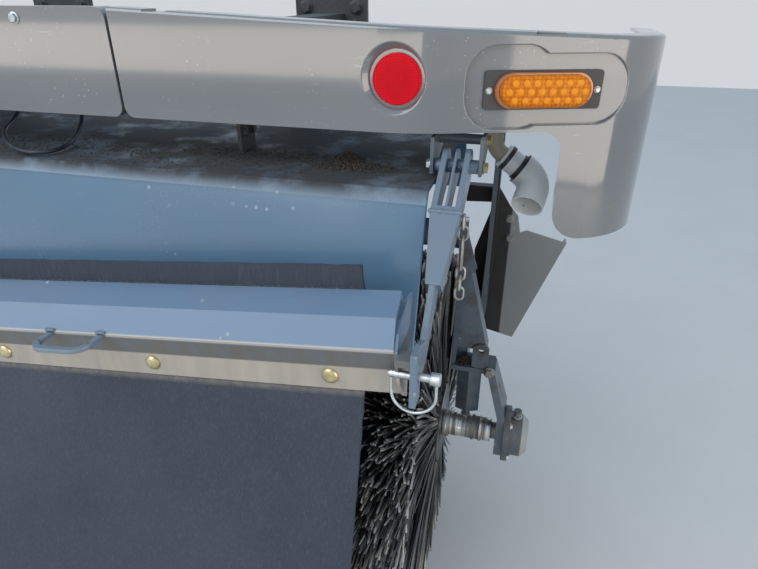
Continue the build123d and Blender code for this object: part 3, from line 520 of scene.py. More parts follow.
def moved(shape, matrix):
    """A list of vertices and faces, moved; a mirroring move turns the faces over."""
    vertices, faces = shape
    if matrix.determinant() < 0:
        faces = [tuple(reversed(face)) for face in faces]
    return [matrix @ Vector(v) for v in vertices], faces


def build_piece(name, shapes, made, degrees):
    """One piece in the scene from lists of vertices and faces, smooth up to an angle."""
    piece = link_piece(name, join_pieces(name, shapes))
    piece.data.materials.append(made)
    smooth_by_angle(piece.data, degrees)
    return piece


disc = lathe([(r * reflector_radius, h * disc_height) for r, h in disc_profile], 64)
to_rear = Matrix.Rotation(math.radians(90), 4, "X")
discs = []
for side in (1, -1):
    seat = Matrix.Translation((side * reflector_x, reflector_high.y, reflector_z))
    discs.append(moved(disc, seat @ to_rear))
reflectors = build_piece("reflectors", discs, red_lens, 25)
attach(reflectors, "root")
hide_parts("rear_reflectors")

# Marker lamps: an amber lens over rows of light-emitting diodes, set in an orange ring on a
# dark plate, in the bumper's long rounded pocket, held by a screw at each end of the plate.
sweep_turn = math.radians(20)
sweep_start_x = 0.8
sweep_start_y = -0.68
lamp_along_face = 0.215
lamp_height = -0.016
lamp_screw_from_middle = 0.0915
end_steps = 16


def on_sweep(side, along, height, out):
    """A point on one swept face: along it from its bend, its height, and its distance out."""
    x = sweep_start_x + along * math.cos(sweep_turn) + out * math.sin(sweep_turn)
    y = sweep_start_y + along * math.sin(sweep_turn) - out * math.cos(sweep_turn)
    return Vector((side * x, y, height))


def stadium(half_length, half_height):
    """Points round a long shape with round ends, counter-clockwise."""
    straight = half_length - half_height
    points = []
    for end in (1, -1):
        for i in range(end_steps + 1):
            angle = math.pi * i / end_steps - math.pi / 2
            points.append((end * (straight + half_height * math.cos(angle)),
                           end * half_height * math.sin(angle)))
    return points


def stadium_shell(half_length, half_height, layers):
    """Layers of (inset, height out) closed into a solid shape, as vertices and faces."""
    vertices = []
    faces = []
    ring = 2 * (end_steps + 1)
    for inset, out in layers:
        for u, v in stadium(half_length - inset, half_height - inset):
            vertices.append((u, v, out))
    for layer in range(len(layers) - 1):
        for i in range(ring):
            a = layer * ring + i
            b = layer * ring + (i + 1) % ring
            faces.append((a, b, b + ring, a + ring))
    faces.append(tuple(reversed(range(ring))))
    last = (len(layers) - 1) * ring
    faces.append(tuple(range(last, last + ring)))
    return vertices, faces


def set_on_sweep(side, shape):
    """Seats a flat-backed shape, drawn in its own plane, on one swept face."""
    vertices, faces = shape
    if side < 0:
        faces = [tuple(reversed(face)) for face in faces]
    return [on_sweep(side, lamp_along_face + u, lamp_height + v, w) for u, v, w in vertices], faces


def two_lamps(name, shape, made, node_name, degrees):
    """The same part of the right and the left lamp, as one piece."""
    piece = build_piece(name, [set_on_sweep(side, shape) for side in (1, -1)], made, degrees)
    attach(piece, "root")
    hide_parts(node_name)


ring_half = (0.0825, 0.0285)
lens_half = (0.0755, 0.0255)
plate_out = -0.004
base_out = 0.004
lens_out = 0.018
ring_layers = [(0, plate_out), (0, 0.001), (0.0015, 0.0035), (0.004, base_out), (0.006, base_out),
               (0.0068, base_out - 0.001)]  # inset from the outline, height out
two_lamps("lamp_rings", stadium_shell(*ring_half, ring_layers),
          moulding("lamp_ring_plastic", (0.46, 0.115, 0.012)), "marker_lamp_bases", 30)
amber, tree, shader, place = material("amber_lens", (0.70, 0.19, 0.004), 0.3, specular_ior_level=0.2)
ribs = put(tree, "ShaderNodeTexVoronoi", {"Vector": place, "Scale": 150.0, "Randomness": 0.0},
           feature="F1").outputs["Distance"]
amber_tone = blend(tree, ramp(tree, ribs, 0.2, 0.7), (0.78, 0.23, 0.005), (0.50, 0.12, 0.003))
dusty = use_mask(tree, dust_group, place, amount=0.2, upright=0.06, scale=20.0)
tree.links.new(blend(tree, dusty, amber_tone, (0.3, 0.15, 0.05)), shader.inputs["Base Color"])
bump(tree, shader, ribs, 0.25, 0.0006)
lens_layers = [(0, base_out - 0.001), (0, 0.0105), (0.0012, 0.0135), (0.0035, 0.0158), (0.008, 0.0172),
               (0.016, lens_out - 0.0002), (0.0248, lens_out)]
two_lamps("lamp_lenses", stadium_shell(*lens_half, lens_layers), amber, "marker_lamp_lenses",
          50)

# The diodes show through the lens as three rows of bright round cups
cup_profile = [(0.5, 0.0), (0.48, 0.10), (0.40, 0.17), (0.22, 0.21), (0.02, 0.22)]
cup = hidden_shape("diode_cup", [lathe(cup_profile, 12)])
cup_amber, tree, shader, place = material("diode_amber", (0.95, 0.40, 0.02), 0.3, specular_ior_level=0.3)
tree.links.new(blend(tree, noise(tree, place, 240.0), (0.76, 0.22, 0.002), (0.94, 0.36, 0.006)),
               shader.inputs["Base Color"])
diode_rows = [(0.0130, 7), (0.0, 8), (-0.0130, 7)]  # height in the lens, diodes in the row
diode_pitch = 0.0178
diode_places = []
diode_axes = []
for side in (1, -1):
    for height, count in diode_rows:
        for i in range(count):
            u = (i - (count - 1) / 2) * diode_pitch
            lens_fall = max(0.0, abs(u) - 0.052) ** 2 * 9 + height * height * 6
            diode_places.append(on_sweep(side, lamp_along_face + u, lamp_height + height,
                                         lens_out - 0.0012 - lens_fall))
            diode_axes.append((side * math.sin(sweep_turn), -math.cos(sweep_turn), 0))
diodes = carrier("lamp_diodes", diode_places, diode_axes)
settle(diodes, repeat_tree("diode_cups", cup_amber), shape=cup, size=0.0125, size_spread=0.0,
       turn_spread=0.0, seed=1)
smooth_by_angle(diodes.data, 60)
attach(diodes, "root")
plate_paint = paint("lamp_plate_paint", (0.045, 0.043, 0.042), 0.45, dust=0.5, upright=0.35, chips=0.5,
                    coat=0.0)
finish_nodes(["marker_lamp_plates"], plate_paint)
sweep_out = (math.sin(sweep_turn), -math.cos(sweep_turn), 0)
lamp_screw_places = [(on_sweep(1, lamp_along_face + u, lamp_height, plate_out), sweep_out)
                     for u in (-lamp_screw_from_middle, lamp_screw_from_middle)]
bolts("lamp_screws", "root", zinc_bolts, 0.009, lamp_screw_places)

# Broom hood: one folded 4 mm sheet in glossy blue-grey enamel. Its deck lies under the bumper
# and is caked with road dirt, which thins out over the fold; the slope behind it is cleaner, and
# is painted lighter and bluer towards its bottom as a painted reflection.
def object_place(made):
    """A finished material's tree, and the object's own coordinates in it."""
    tree = made.node_tree
    return tree, put(tree, "ShaderNodeTexCoord").outputs["Object"]


def lay_over(made, mask, color, roughness):
    """Lays one more colour over a finished paint where the mask says, at least as rough as told."""
    tree = made.node_tree
    shader = tree.nodes["Principled BSDF"]
    under = {key: shader.inputs[key].links[0].from_socket for key in ("Base Color", "Roughness")}
    tree.links.new(blend(tree, mask, under["Base Color"], color), shader.inputs["Base Color"])
    rougher = reckon(tree, "MAXIMUM", under["Roughness"], times(tree, mask, roughness), clamp=True)
    tree.links.new(rougher, shader.inputs["Roughness"])


hood_enamel = paint("hood_enamel", (0.095, 0.180, 0.270), 0.2, dust=0.5, upright=0.03, chips=0.9, coat=0.6,
                    bare=(0.42, 0.45, 0.46), cloud=3.2)
tree, place = object_place(hood_enamel)
level = along_axis(tree, place, "Z")
# Painted reflection: the hood grows lighter and bluer downwards, by height
painted_reflection_fade = ramp(tree, level, -0.20, -0.42, 0, 0.4)
lay_over(hood_enamel, painted_reflection_fade, (0.17, 0.30, 0.46), 0)
clods = ramp(tree, noise(tree, place, 7.0, 9.0, 0.7), 0.30, 0.50, 0.35, 0.97)
caked = times(tree, ramp(tree, level, -0.187, -0.163), clods)
earth = blend(tree, noise(tree, place, 120.0, 6.0, 0.7), (0.016, 0.016, 0.016), (0.070, 0.066, 0.062))
lay_over(hood_enamel, caked, earth, 1)
coat_weight = tree.nodes["Principled BSDF"].inputs["Coat Weight"]
tree.links.new(times(tree, coat_weight.links[0].from_socket, ramp(tree, caked, 0, 1, 1, 0)), coat_weight)
finish_nodes(["broom_hood"], hood_enamel)
soften("broom_hood", 0.0025, 3)

# Soil: crumbs of earth, leaf and grit that lie on the deck and on the arms' ties, thickest
# in a few heaps against the cross member.
soil, tree, shader, place = material("soil", (0.10, 0.078, 0.055), 0.95)
tree.links.new(blend(tree, noise(tree, place, 130.0, 5.0), (0.022, 0.018, 0.015), (0.090, 0.076, 0.060)),
               shader.inputs["Base Color"])
crumb_vertices = [(0.55, 0.1, 0.1), (-0.1, 0.5, 0.05), (-0.5, -0.1, 0.1), (0.1, -0.45, 0.0),
                  (0.1, 0.05, 0.5), (0.0, 0.0, -0.3)]
crumb_faces = [(0, 1, 4), (1, 2, 4), (2, 3, 4), (3, 0, 4), (1, 0, 5), (2, 1, 5), (3, 2, 5), (0, 3, 5)]
crumb = hidden_shape("crumb", [(crumb_vertices, crumb_faces)])
crumb_tree = repeat_tree("crumbs", soil)


def soil_heap(name, body, heaps, seed):
    """Crumbs in heaps of (x, y, z, radius along x, radius along y, height, how many)."""
    chance = random.Random(seed)
    places = []
    axes = []
    for x, y, z, reach_x, reach_y, height, count in heaps:
        for _ in range(count):
            angle = chance.uniform(0, 2 * math.pi)
            out = chance.random() ** 0.75
            lift = height * (1 - out) * chance.random()
            places.append((x + reach_x * out * math.cos(angle), y + reach_y * out * math.sin(angle),
                           z + lift))
            axes.append((chance.uniform(-0.5, 0.5), chance.uniform(-0.5, 0.5), 1))
    heap = carrier(name, places, axes)
    settle(heap, crumb_tree, shape=crumb, size=0.0036, size_spread=0.0024, turn_spread=6.2, seed=seed)
    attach(heap, body)


deck_top = -0.160
soil_heap("deck_soil", "root", [(0.655, -0.585, deck_top, 0.035, 0.022, 0.018, 1300),
                                (0.68, -0.635, deck_top, 0.085, 0.030, 0.006, 1500),
                                (0.52, -0.60, deck_top, 0.22, 0.045, 0.003, 420),
                                (-0.35, -0.60, deck_top, 0.30, 0.035, 0.003, 300),
                                (0.1, -0.64, deck_top, 0.7, 0.08, 0.0005, 700)], 3)

# Hinge brackets: two dark cheek plates under the cross member on each side, with the lift
# arm's pin and a spacer tube through them, held by hexagon bolts.
bracket_paint = paint("bracket_paint", (0.10, 0.125, 0.15), 0.42, dust=0.6, upright=0.2, chips=0.9,
                      coat=0.2)
finish_nodes(["hinge_bracket_right", "hinge_bracket_left"], bracket_paint, edge=0.001)
finish_nodes(["broom_pivot_bracket_right", "broom_pivot_bracket_left"], bracket_paint)
hinge_low, hinge_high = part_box("hinge_bracket_right")
hinge_ends = [(0, -0.640, -0.142), (0.001, -0.592, -0.105)]  # how far in each end lies, its y and z
for label, x, out, bolt_tree, slot_name in (("inner", hinge_low.x, -1, zinc_bolts, "zinc"),
                                            ("outer", hinge_high.x, 1, yellow_bolts, "yellow_zinc")):
    places = [((x - out * inward, y, z), (out, 0, 0)) for inward, y, z in hinge_ends]
    bolts("hinge_bolts_" + label, "root", bolt_tree, 0.0185, places)

# Lift arms: two steel bars and a brighter web between them, under a trapezoid cap plate that
# narrows to one link bar. The plates are welded; a bead runs across the head of the cap.
arm_enamel = paint("arm_enamel", (0.14, 0.20, 0.27), 0.28, dust=0.5, upright=0.08, chips=1.0, coat=0.4)
finish_nodes(["lift_arm_right", "lift_arm_left"], arm_enamel, edge=0.0014)
ripple_profile = [(0.02, -0.5), (0.38, -0.3), (0.5, 0.0), (0.38, 0.3), (0.02, 0.5)]
ripple = hidden_shape("weld_ripple", [lathe(ripple_profile, 8)])
weld_tree = repeat_tree("weld_ripples", paint("painted_weld", (0.15, 0.205, 0.265), 0.35, dust=0.5,
                                              upright=0.15, chips=1.0, coat=0.3))


def weld_bead(name, body, runs, size):
    """A row of overlapping ripples along each run, from its start to its end."""
    places = []
    axes = []
    for start, end in runs:
        start = Vector(start)
        run = Vector(end) - start
        count = max(2, int(run.length / (size * 0.42)))
        for i in range(count + 1):
            places.append(start + run * i / count)
            axes.append(run.normalized())
    bead = carrier(name, places, axes)
    settle(bead, weld_tree, shape=ripple, size=size, size_spread=size * 0.16, turn_spread=6.2, seed=7)
    smooth_by_angle(bead.data, 80)
    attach(bead, body)


cap_inner_x = 0.8475
cap_outer_x = 0.8945
cap_head_y = -0.756
cap_head_z = -0.186
arm_beads = [((side * cap_inner_x, cap_head_y, cap_head_z), (side * cap_outer_x, cap_head_y, cap_head_z))
             for side in (1, -1)]
weld_bead("arm_welds", "rear_flap", arm_beads, 0.009)

# Flap frame: one folded 5 mm channel in the hood's enamel. The slope above the lip is washed
# clean, and the lip's edge is painted pale, as bare wear and as a painted highlight. The face below
# it carries painted shade streaked like road film, and lower down a tan band that is a painted
# reflection of the sunlit ground.
flap_turn = math.radians(6)
flap_x = 0.006
flap_y = -0.95
flap_z = -0.472
flap_seat = Matrix.Translation((flap_x, flap_y, flap_z)) @ Matrix.Rotation(-flap_turn, 4, "Y")


def coordinate(tree, place, direction, offset=0.0):
    """Distance of a point along a direction, plus an offset."""
    along = put(tree, "ShaderNodeVectorMath", {0: place, 1: direction}, operation="DOT_PRODUCT")
    return reckon(tree, "ADD", along.outputs["Value"], offset)


def within(tree, value, low, high, soft):
    """Mask that is one between two values, with soft ends."""
    return times(tree, ramp(tree, value, low - soft, low + soft),
                 ramp(tree, value, high - soft, high + soft, 1, 0))


def flap_levels(tree, place):
    """Height and depth of a point in the tilted flap's own frame."""
    up = (-math.sin(flap_turn), 0, math.cos(flap_turn))
    height = coordinate(tree, place, up, flap_x * math.sin(flap_turn) - flap_z * math.cos(flap_turn))
    return height, coordinate(tree, place, (0, 1, 0), -flap_y)


flap_enamel = paint("flap_enamel", (0.115, 0.190, 0.295), 0.3, dust=0.45, upright=0.05, chips=0.9, coat=0.3,
                    bare=(0.50, 0.52, 0.51), cloud=3.0)
tree, place = object_place(flap_enamel)
height, depth = flap_levels(tree, place)
streaks = put(tree, "ShaderNodeMapping", {"Vector": place, "Scale": (1.0, 1.0, 0.12)}).outputs[0]
streak_noise = ramp(tree, noise(tree, streaks, 38.0, 4.0), 0.25, 0.6, 0.72, 1.0)
# Painted shade: the face under the lip is painted darker, in streaks
painted_shade_below_lip = times(tree, ramp(tree, height, 0.055, 0.052), streak_noise)  # all of the face below the lip
lay_over(flap_enamel, painted_shade_below_lip, (0.135, 0.128, 0.113), 0.62)
# Painted reflection: its lower band is painted tan, as the sunlit ground seen in the paint
lower = times(tree, ramp(tree, height, 0.0195, 0.0165), streak_noise)  # its lower, tan band
reflection_tan = blend(tree, noise(tree, place, 14.0), (0.35, 0.305, 0.25), (0.44, 0.39, 0.325))
lay_over(flap_enamel, lower, reflection_tan, 0.6)
# The lip's edge is painted pale: bare wear, and a painted highlight
worn_lip_and_highlight = times(tree, within(tree, height, 0.0545, 0.0605, 0.0012), ramp(tree, depth, -0.0095, -0.0120))
lay_over(flap_enamel, worn_lip_and_highlight, (0.46, 0.41, 0.36), 0.5)
finish_nodes(["flap_frame"], flap_enamel, edge=0.0014)
handle_enamel = paint("handle_enamel", (0.17, 0.22, 0.27), 0.28, dust=0.5, upright=0.2, chips=1.4, coat=0.4,
                      bare=(0.50, 0.49, 0.46))
finish_nodes(["pull_handles"], handle_enamel, edge=0.0018)
round_foot = [(-0.0065, -0.006, 0.046), (-0.0065, -0.0135, 0.062), (0.0065, -0.0135, 0.062),
              (0.0065, -0.006, 0.046)]
handle_beads = []
for middle in (0.288, -0.288):
    for leg in (middle - 0.052, middle + 0.052):
        corners = [flap_seat @ Vector((leg + x, y, z)) for x, y, z in round_foot]
        handle_beads += list(zip(corners, corners[1:]))
weld_bead("handle_welds", "rear_flap", handle_beads, 0.0065)

# Rubber flap: 8 mm belting with a woven core, cut with a knife, so its edges fray. It stands
# as a strip above the frame, runs inside the channel and hangs below it, a little wavy.
hang_start = -0.028
hang_height = 0.6087
rubber_line = [(0.063, 0.156), (0.063, 0.097), (0.0053, 0.034), (0.0053, hang_start),
               (-0.1925, hang_start - hang_height)]  # y and z in the flap's own frame, from the top
rubber_half = 0.784
rubber_foot_half = 0.718
rubber_thick = 0.008
rubber_columns = 150
row_pitch = 0.014
wave_height = 0.0035
crease_depth = 0.0016
crease_x = 0.722
line_points = []
for start, end in zip(rubber_line, rubber_line[1:]):
    start = Vector(start)
    run = Vector(end) - start
    count = max(2, round(run.length / row_pitch))
    line_points += [start + run * (i / count) for i in range(count)]
line_points.append(Vector(rubber_line[-1]))


def line_normal(index):
    """Forward normal of the rubber's line at one of its points, widened at the folds."""
    total = Vector((0, 0))
    for a, b in ((index - 1, index), (index, index + 1)):
        if 0 <= a and b < len(line_points):
            run = (line_points[b] - line_points[a]).normalized()
            total += Vector((-run.y, run.x))
    return total * (2 / total.length_squared) if 0 < index < len(line_points) - 1 else total


rubber_vertices = []
for layer in (0, 1):
    for row, spot in enumerate(line_points):
        fall = max(0.0, (hang_start - spot.y) / hang_height)
        half = rubber_half + (rubber_foot_half - rubber_half) * fall
        normal = line_normal(row)
        for column in range(rubber_columns + 1):
            share = 2 * column / rubber_columns - 1
            edge = max(0.0, abs(share) - 0.985) / 0.015
            nick = 0.0024 * edge * abs(mesh_noise.noise((row * 1.7, share * 3, 5.0)))
            x = share * half - math.copysign(nick, share)
            slack = min(1.0, fall * 6) * (1 - 0.6 * fall)
            wave = wave_height * slack * mesh_noise.noise((share * 3.1, fall * 2.0, 1.0))
            crease = -crease_depth * slack * math.exp(-((x - crease_x + 0.03 * fall) / 0.006) ** 2)
            y, z = spot + normal * (layer * rubber_thick) + line_normal(row) * (wave + crease)
            if row == 0:
                z -= 0.0018 * abs(mesh_noise.noise((column * 0.9, 2.0, 0.0)))
            rubber_vertices.append(flap_seat @ Vector((x, y, z)))

# Its two faces first, then its top and bottom edges, then its two side edges
rubber_faces = []
across = rubber_columns + 1
rows = len(line_points)
for row in range(rows - 1):
    for column in range(rubber_columns):
        a = row * across + column
        rubber_faces.append((a, a + across, a + across + 1, a + 1))
        b = a + rows * across
        rubber_faces.append((b, b + 1, b + across + 1, b + across))
for column in range(rubber_columns):
    a, b = column, column + rows * across
    rubber_faces.append((a, a + 1, b + 1, b))
    a, b = a + (rows - 1) * across, b + (rows - 1) * across
    rubber_faces.append((a, b, b + 1, a + 1))
for row in range(rows - 1):
    a, b = row * across, (row + rows) * across
    rubber_faces.append((a, b, b + across, a + across))
    a, b = a + rubber_columns, b + rubber_columns
    rubber_faces.append((a, a + across, b + across, b))
rubber = link_piece("rubber", plain_mesh("rubber", rubber_vertices, rubber_faces))
smooth_by_angle(rubber.data, 40)
# The belting's black is tinted blue as a painted reflection of the sky
belting, tree, shader, place = material("belting", (0.036, 0.045, 0.062), 0.55)
weave = put(tree, "ShaderNodeMapping", {"Vector": place, "Scale": (1.0, 1.0, 0.08)}).outputs[0]
threads = noise(tree, weave, 420.0, 3.0, 0.7)
tone = blend(tree, noise(tree, place, 5.0, 6.0, 0.65), (0.014, 0.020, 0.034), (0.032, 0.043, 0.066))
tone = blend(tree, ramp(tree, threads, 0.5, 0.75, 0, 0.4), tone, (0.10, 0.11, 0.125))
height, depth = flap_levels(tree, place)
dirt_line = times(tree, within(tree, height, -0.036, -0.026, 0.004), noise(tree, place, 60.0))
tone = blend(tree, dirt_line, tone, (0.22, 0.20, 0.17))
scuffed = use_mask(tree, scuff_group, place, amount=0.45, scale=5.0, stretch=6.0)
tone = blend(tree, scuffed, tone, (0.12, 0.12, 0.118))
# On what faces up the rubber is painted a lighter blue-grey: road dust, and a painted sky reflection
dusty = use_mask(tree, dust_group, place, amount=0.4, upright=0.3, scale=5.0)
tree.links.new(blend(tree, dusty, tone, (0.095, 0.112, 0.135)), shader.inputs["Base Color"])
bump(tree, shader, threads, 0.35, 0.0006)
rubber.data.materials.append(belting)
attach(rubber, "rear_flap")
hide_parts("rubber_flap")

# Frayed threads of the belting's woven core: most where the frame's top edge rubs on it, some
# on its own top edge, and some down its two side edges.
thread_grey, tree, shader, place = material("fray_thread", (0.34, 0.35, 0.35), 0.85)
tree.links.new(blend(tree, noise(tree, place, 300.0), (0.10, 0.11, 0.12), (0.52, 0.52, 0.50)),
               shader.inputs["Base Color"])
thread_vertices = [(0.06, 0, 0), (-0.03, 0.05, 0), (-0.03, -0.05, 0), (0.16, 0.05, 0.55),
                   (0.09, 0.08, 0.55), (0.09, 0.02, 0.55), (0.02, 0.2, 1.0)]
thread_faces = [(0, 2, 1), (0, 1, 4, 3), (1, 2, 5, 4), (2, 0, 3, 5), (3, 4, 6), (4, 5, 6), (5, 3, 6)]
thread = hidden_shape("thread", [(thread_vertices, thread_faces)])
chance = random.Random(11)
fray_places = []
fray_axes = []
for _ in range(2600):
    x = chance.uniform(-0.775, 0.775)
    if chance.random() < 0.72:
        spot = Vector((x, 0.0618, 0.1175 + chance.uniform(0, 0.003)))
        axis = Vector((chance.uniform(-1, 1), -0.7, chance.uniform(-0.1, 1.0)))
    elif chance.random() < 0.5:
        spot = Vector((x, 0.064 + chance.random() * 0.006, 0.1535))
        axis = Vector((chance.uniform(-1.2, 1.2), chance.uniform(-0.8, 0.2), 0.4))
    else:
        fall = chance.random()
        side = chance.choice((-1, 1))
        spot = Vector((side * (rubber_half - 0.004 - 0.066 * fall), 0.009 - 0.19 * fall,
                       -0.03 - 0.6 * fall))
        axis = Vector((side * 0.5, chance.uniform(-1, 0.3), chance.uniform(-1, 1)))
    fray_places.append(flap_seat @ spot)
    fray_axes.append(flap_seat.to_3x3() @ axis)
fray = carrier("fray", fray_places, fray_axes)
settle(fray, repeat_tree("fray_threads", thread_grey), shape=thread, size=0.0030, size_spread=0.0014,
       turn_spread=6.2, seed=9)
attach(fray, "rear_flap")

# Carriage bolts: half-inch bolts in yellow zinc with domed heads on the channel's face, each
# with its nut behind the rubber.
carriage_zinc = metal("carriage_zinc", (0.78, 0.67, 0.38), 0.26, (0.46, 0.37, 0.20), dirt=0.2)
dome = [(0.0135, 0.0), (0.0135, 0.0008), (0.0127, 0.0026), (0.0108, 0.0043), (0.0078, 0.0054),
        (0.004, 0.0059), (0.0003, 0.006)]
shank = [(0.0063, -0.0220), (0.0063, 0.001)]
nut = [(0.0102, -0.0240), (0.0110, -0.0232), (0.0110, -0.0148), (0.0102, -0.0140)]
carriage_x = (0.095, 0.415, 0.734)
carriage_shapes = []
for x in carriage_x:
    for side in (-1, 1):
        seat = flap_seat @ Matrix.Translation((side * x, 0, 0)) @ to_rear
        for profile, sides in ((dome, 32), (shank, 12), (nut, 6)):
            carriage_shapes.append(moved(lathe(profile, sides), seat))
carriage = build_piece("carriage_bolt_set", carriage_shapes, carriage_zinc, 40)
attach(carriage, "rear_flap")
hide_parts("carriage_bolts")

# Lock pins: round bars with a collar head, pushed through each lug into the flap's end, and
# kept there by a wire ring that snaps from the head to the tail.
pin_levels = {1: -0.3631, -1: -0.5449}
pin_tails = {1: 0.8304, -1: 0.8184}
pin_line_y = -0.962
collar_start = 0.893
collar_end = 0.908
to_right = Matrix.Rotation(math.radians(90), 4, "Y")
pin_shapes = []
ring_shapes = []


def planar_tube(path, normal, radius, sides, closed=False):
    """A round bar along a path that lies in one plane, as vertices and faces."""
    vertices = []
    faces = []
    count = len(path)
    for i, spot in enumerate(path):
        if closed:
            along = path[(i + 1) % count] - path[i - 1]
        else:
            along = path[min(i + 1, count - 1)] - path[max(i - 1, 0)]
        sideways = along.normalized().cross(normal)
        for j in range(sides):
            angle = 2 * math.pi * j / sides
            vertices.append(spot + (normal * math.cos(angle) + sideways * math.sin(angle)) * radius)
    for i in range(count if closed else count - 1):
        for j in range(sides):
            a, b = i * sides + j, i * sides + (j + 1) % sides
            c, d = (i + 1) % count * sides + (j + 1) % sides, (i + 1) % count * sides + j
            faces.append((a, b, c, d))
    if not closed:
        faces.append(tuple(reversed(range(sides))))
        faces.append(tuple(range((count - 1) * sides, count * sides)))
    return vertices, faces


def arc(centre, first, second, radius, start, end, count):
    """Points on an arc in the plane of two directions, between two angles in degrees."""
    points = []
    for i in range(count + 1):
        angle = math.radians(start + (end - start) * i / count)
        points.append(centre + (first * math.cos(angle) + second * math.sin(angle)) * radius)
    return points


for side, level in pin_levels.items():
    tail = pin_tails[side]
    profile = [(0.0035, tail), (0.006, tail + 0.004), (0.006, collar_start), (0.0092, collar_start),
               (0.010, collar_start + 0.0012), (0.010, collar_end - 0.0015), (0.0082, collar_end)]
    spot = Matrix.Translation((0, pin_line_y, level))
    if side < 0:
        spot = spot @ Matrix.Scale(-1, 4, (1, 0, 0))
    pin_shapes.append(moved(lathe(profile, 24), spot @ to_right))
    legs = (tail + 0.005, collar_end - 0.006)
    reach = (legs[1] - legs[0]) / 2
    middle = Vector(((legs[0] + legs[1]) / 2, 0, -0.066 + reach))
    path = [Vector((legs[0], 0, -0.0064))]
    path += arc(middle, Vector((1, 0, 0)), Vector((0, 0, 1)), reach, 180, 360, 24)
    path.append(Vector((legs[1], 0, -0.0104)))
    ring_shapes.append(moved(planar_tube(path, Vector((0, 1, 0)), 0.0024, 12), spot))
pins = build_piece("pins", pin_shapes, zinc, 40)
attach(pins, "rear_flap")
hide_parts("lock_pins")
ring_zinc = metal("ring_zinc", (0.86, 0.88, 0.88), 0.2, (0.62, 0.63, 0.63), dirt=0.1)
rings = build_piece("pin_rings", ring_shapes, ring_zinc, 60)
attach(rings, "rear_flap")
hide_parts("lock_pin_rings")

# Safety chain: five short links and one long one of 5 mm zinc-plated wire, each welded shut.
# They hang from a steel eye on the right lift arm.
chain_table = [(0.030, 0.020), (0.030, 0.020), (0.066, 0.018), (0.030, 0.020), (0.030, 0.020),
               (0.030, 0.020)]  # length and width of each link, from the eye down
chain_wire = 0.005
chain_spot = Vector((0.8995, -0.728, -0.196))
link_shapes = []
for i, (length, width) in enumerate(chain_table):
    flat = Vector((0, 1, 0)) if i % 2 == 0 else Vector((1, 0, 0))
    across_link = Vector((1, 0, 0)) if i % 2 == 0 else Vector((0, 1, 0))
    bend = (width - chain_wire) / 2
    straight = Vector((0, 0, length / 2 - chain_wire / 2 - bend))
    middle = chain_spot - Vector((0, 0, length / 2))
    path = arc(middle + straight, flat, Vector((0, 0, 1)), bend, 0, 180, 10)
    path += arc(middle - straight, flat, Vector((0, 0, 1)), bend, 180, 360, 10)
    link_shapes.append(planar_tube(path, across_link, chain_wire / 2, 10, closed=True))
    chain_spot = chain_spot - Vector((0, 0, length - 2 * chain_wire - 0.0006))
chain_zinc = metal("chain_zinc", (0.60, 0.58, 0.53), 0.34, (0.27, 0.25, 0.21), dirt=0.5)
chain = build_piece("chain", link_shapes, chain_zinc, 60)
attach(chain, "rear_flap")
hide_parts("safety_chain")
finish_nodes(["chain_eye"], zinc)

# Broom core: a steel tube, painted near-black as painted shade between the filaments, with turned
# steel spools at its ends that dirt and loose wire have polished in rings.
def sideways_distance(tree, place):
    """How far a point lies from the machine's middle, to either side."""
    return reckon(tree, "ABSOLUTE", coordinate(tree, place, (1, 0, 0)), 0)


core_steel, tree, shader, place = material("core_steel", (0.30, 0.29, 0.27), 0.35, metallic=0.85)
turned = put(tree, "ShaderNodeMapping", {"Vector": place, "Scale": (1.0, 0.05, 0.05)}).outputs[0]
grooves = noise(tree, turned, 110.0, 2.0, 0.6)
# Painted shade: inside the spools the tube is painted near-black
painted_shade_on_tube = ramp(tree, sideways_distance(tree, place), 0.8628, 0.8636, 1, 0)
bright = blend(tree, ramp(tree, grooves, 0.4, 0.6), (0.20, 0.185, 0.16), (0.70, 0.69, 0.66))
tree.links.new(blend(tree, painted_shade_on_tube, bright, (0.018, 0.017, 0.016)), shader.inputs["Base Color"])
tree.links.new(times(tree, ramp(tree, painted_shade_on_tube, 0, 1, 1, 0), 0.85), shader.inputs["Metallic"])
tree.links.new(ramp(tree, grooves, 0.4, 0.6, 0.6, 0.2), shader.inputs["Roughness"])
bump(tree, shader, grooves, 0.3, 0.0008)
finish_nodes(["broom_core"], core_steel, edge=0.0012)

# Bristles: black polypropylene filaments set all round the core, about half of them straight
# and the others bowed or bent, with tips worn light. The bowed ones are painted grey and the bent
# ones pale grey as painted highlights; a dark mass of them fills the middle.
hub_y = -0.516
hub_z = -0.820
hub_line = Vector((0, hub_y, hub_z))


def bristle_material(name, dark, light, tip, shine):
    """From its root out a filament keeps one tone of its own, and then turns to the tip's."""
    made, tree, shader, place = material(name, dark, shine)
    from_hub = put(tree, "ShaderNodeVectorMath", {0: place, 1: -hub_line}, operation="ADD").outputs[0]
    radial = put(tree, "ShaderNodeVectorMath", {0: from_hub, 1: (0, 1, 1)}, operation="MULTIPLY").outputs[0]
    radius_out = put(tree, "ShaderNodeVectorMath", {0: radial}, operation="LENGTH").outputs["Value"]
    strand = put(tree, "ShaderNodeAttribute", attribute_name="tone").outputs["Fac"]
    frayed = ramp(tree, noise(tree, place, 90.0, 3.0), 0.35, 0.6, 0.5, 1.0)
    worn_tip = times(tree, times(tree, ramp(tree, radius_out, 0.30, 0.41, 0.05, 1.0), strand), frayed)
    own_tone = blend(tree, strand, dark, light)
    tree.links.new(blend(tree, worn_tip, own_tone, tip), shader.inputs["Base Color"])
    tree.links.new(ramp(tree, worn_tip, 0, 1, shine, 0.6), shader.inputs["Roughness"])
    return made


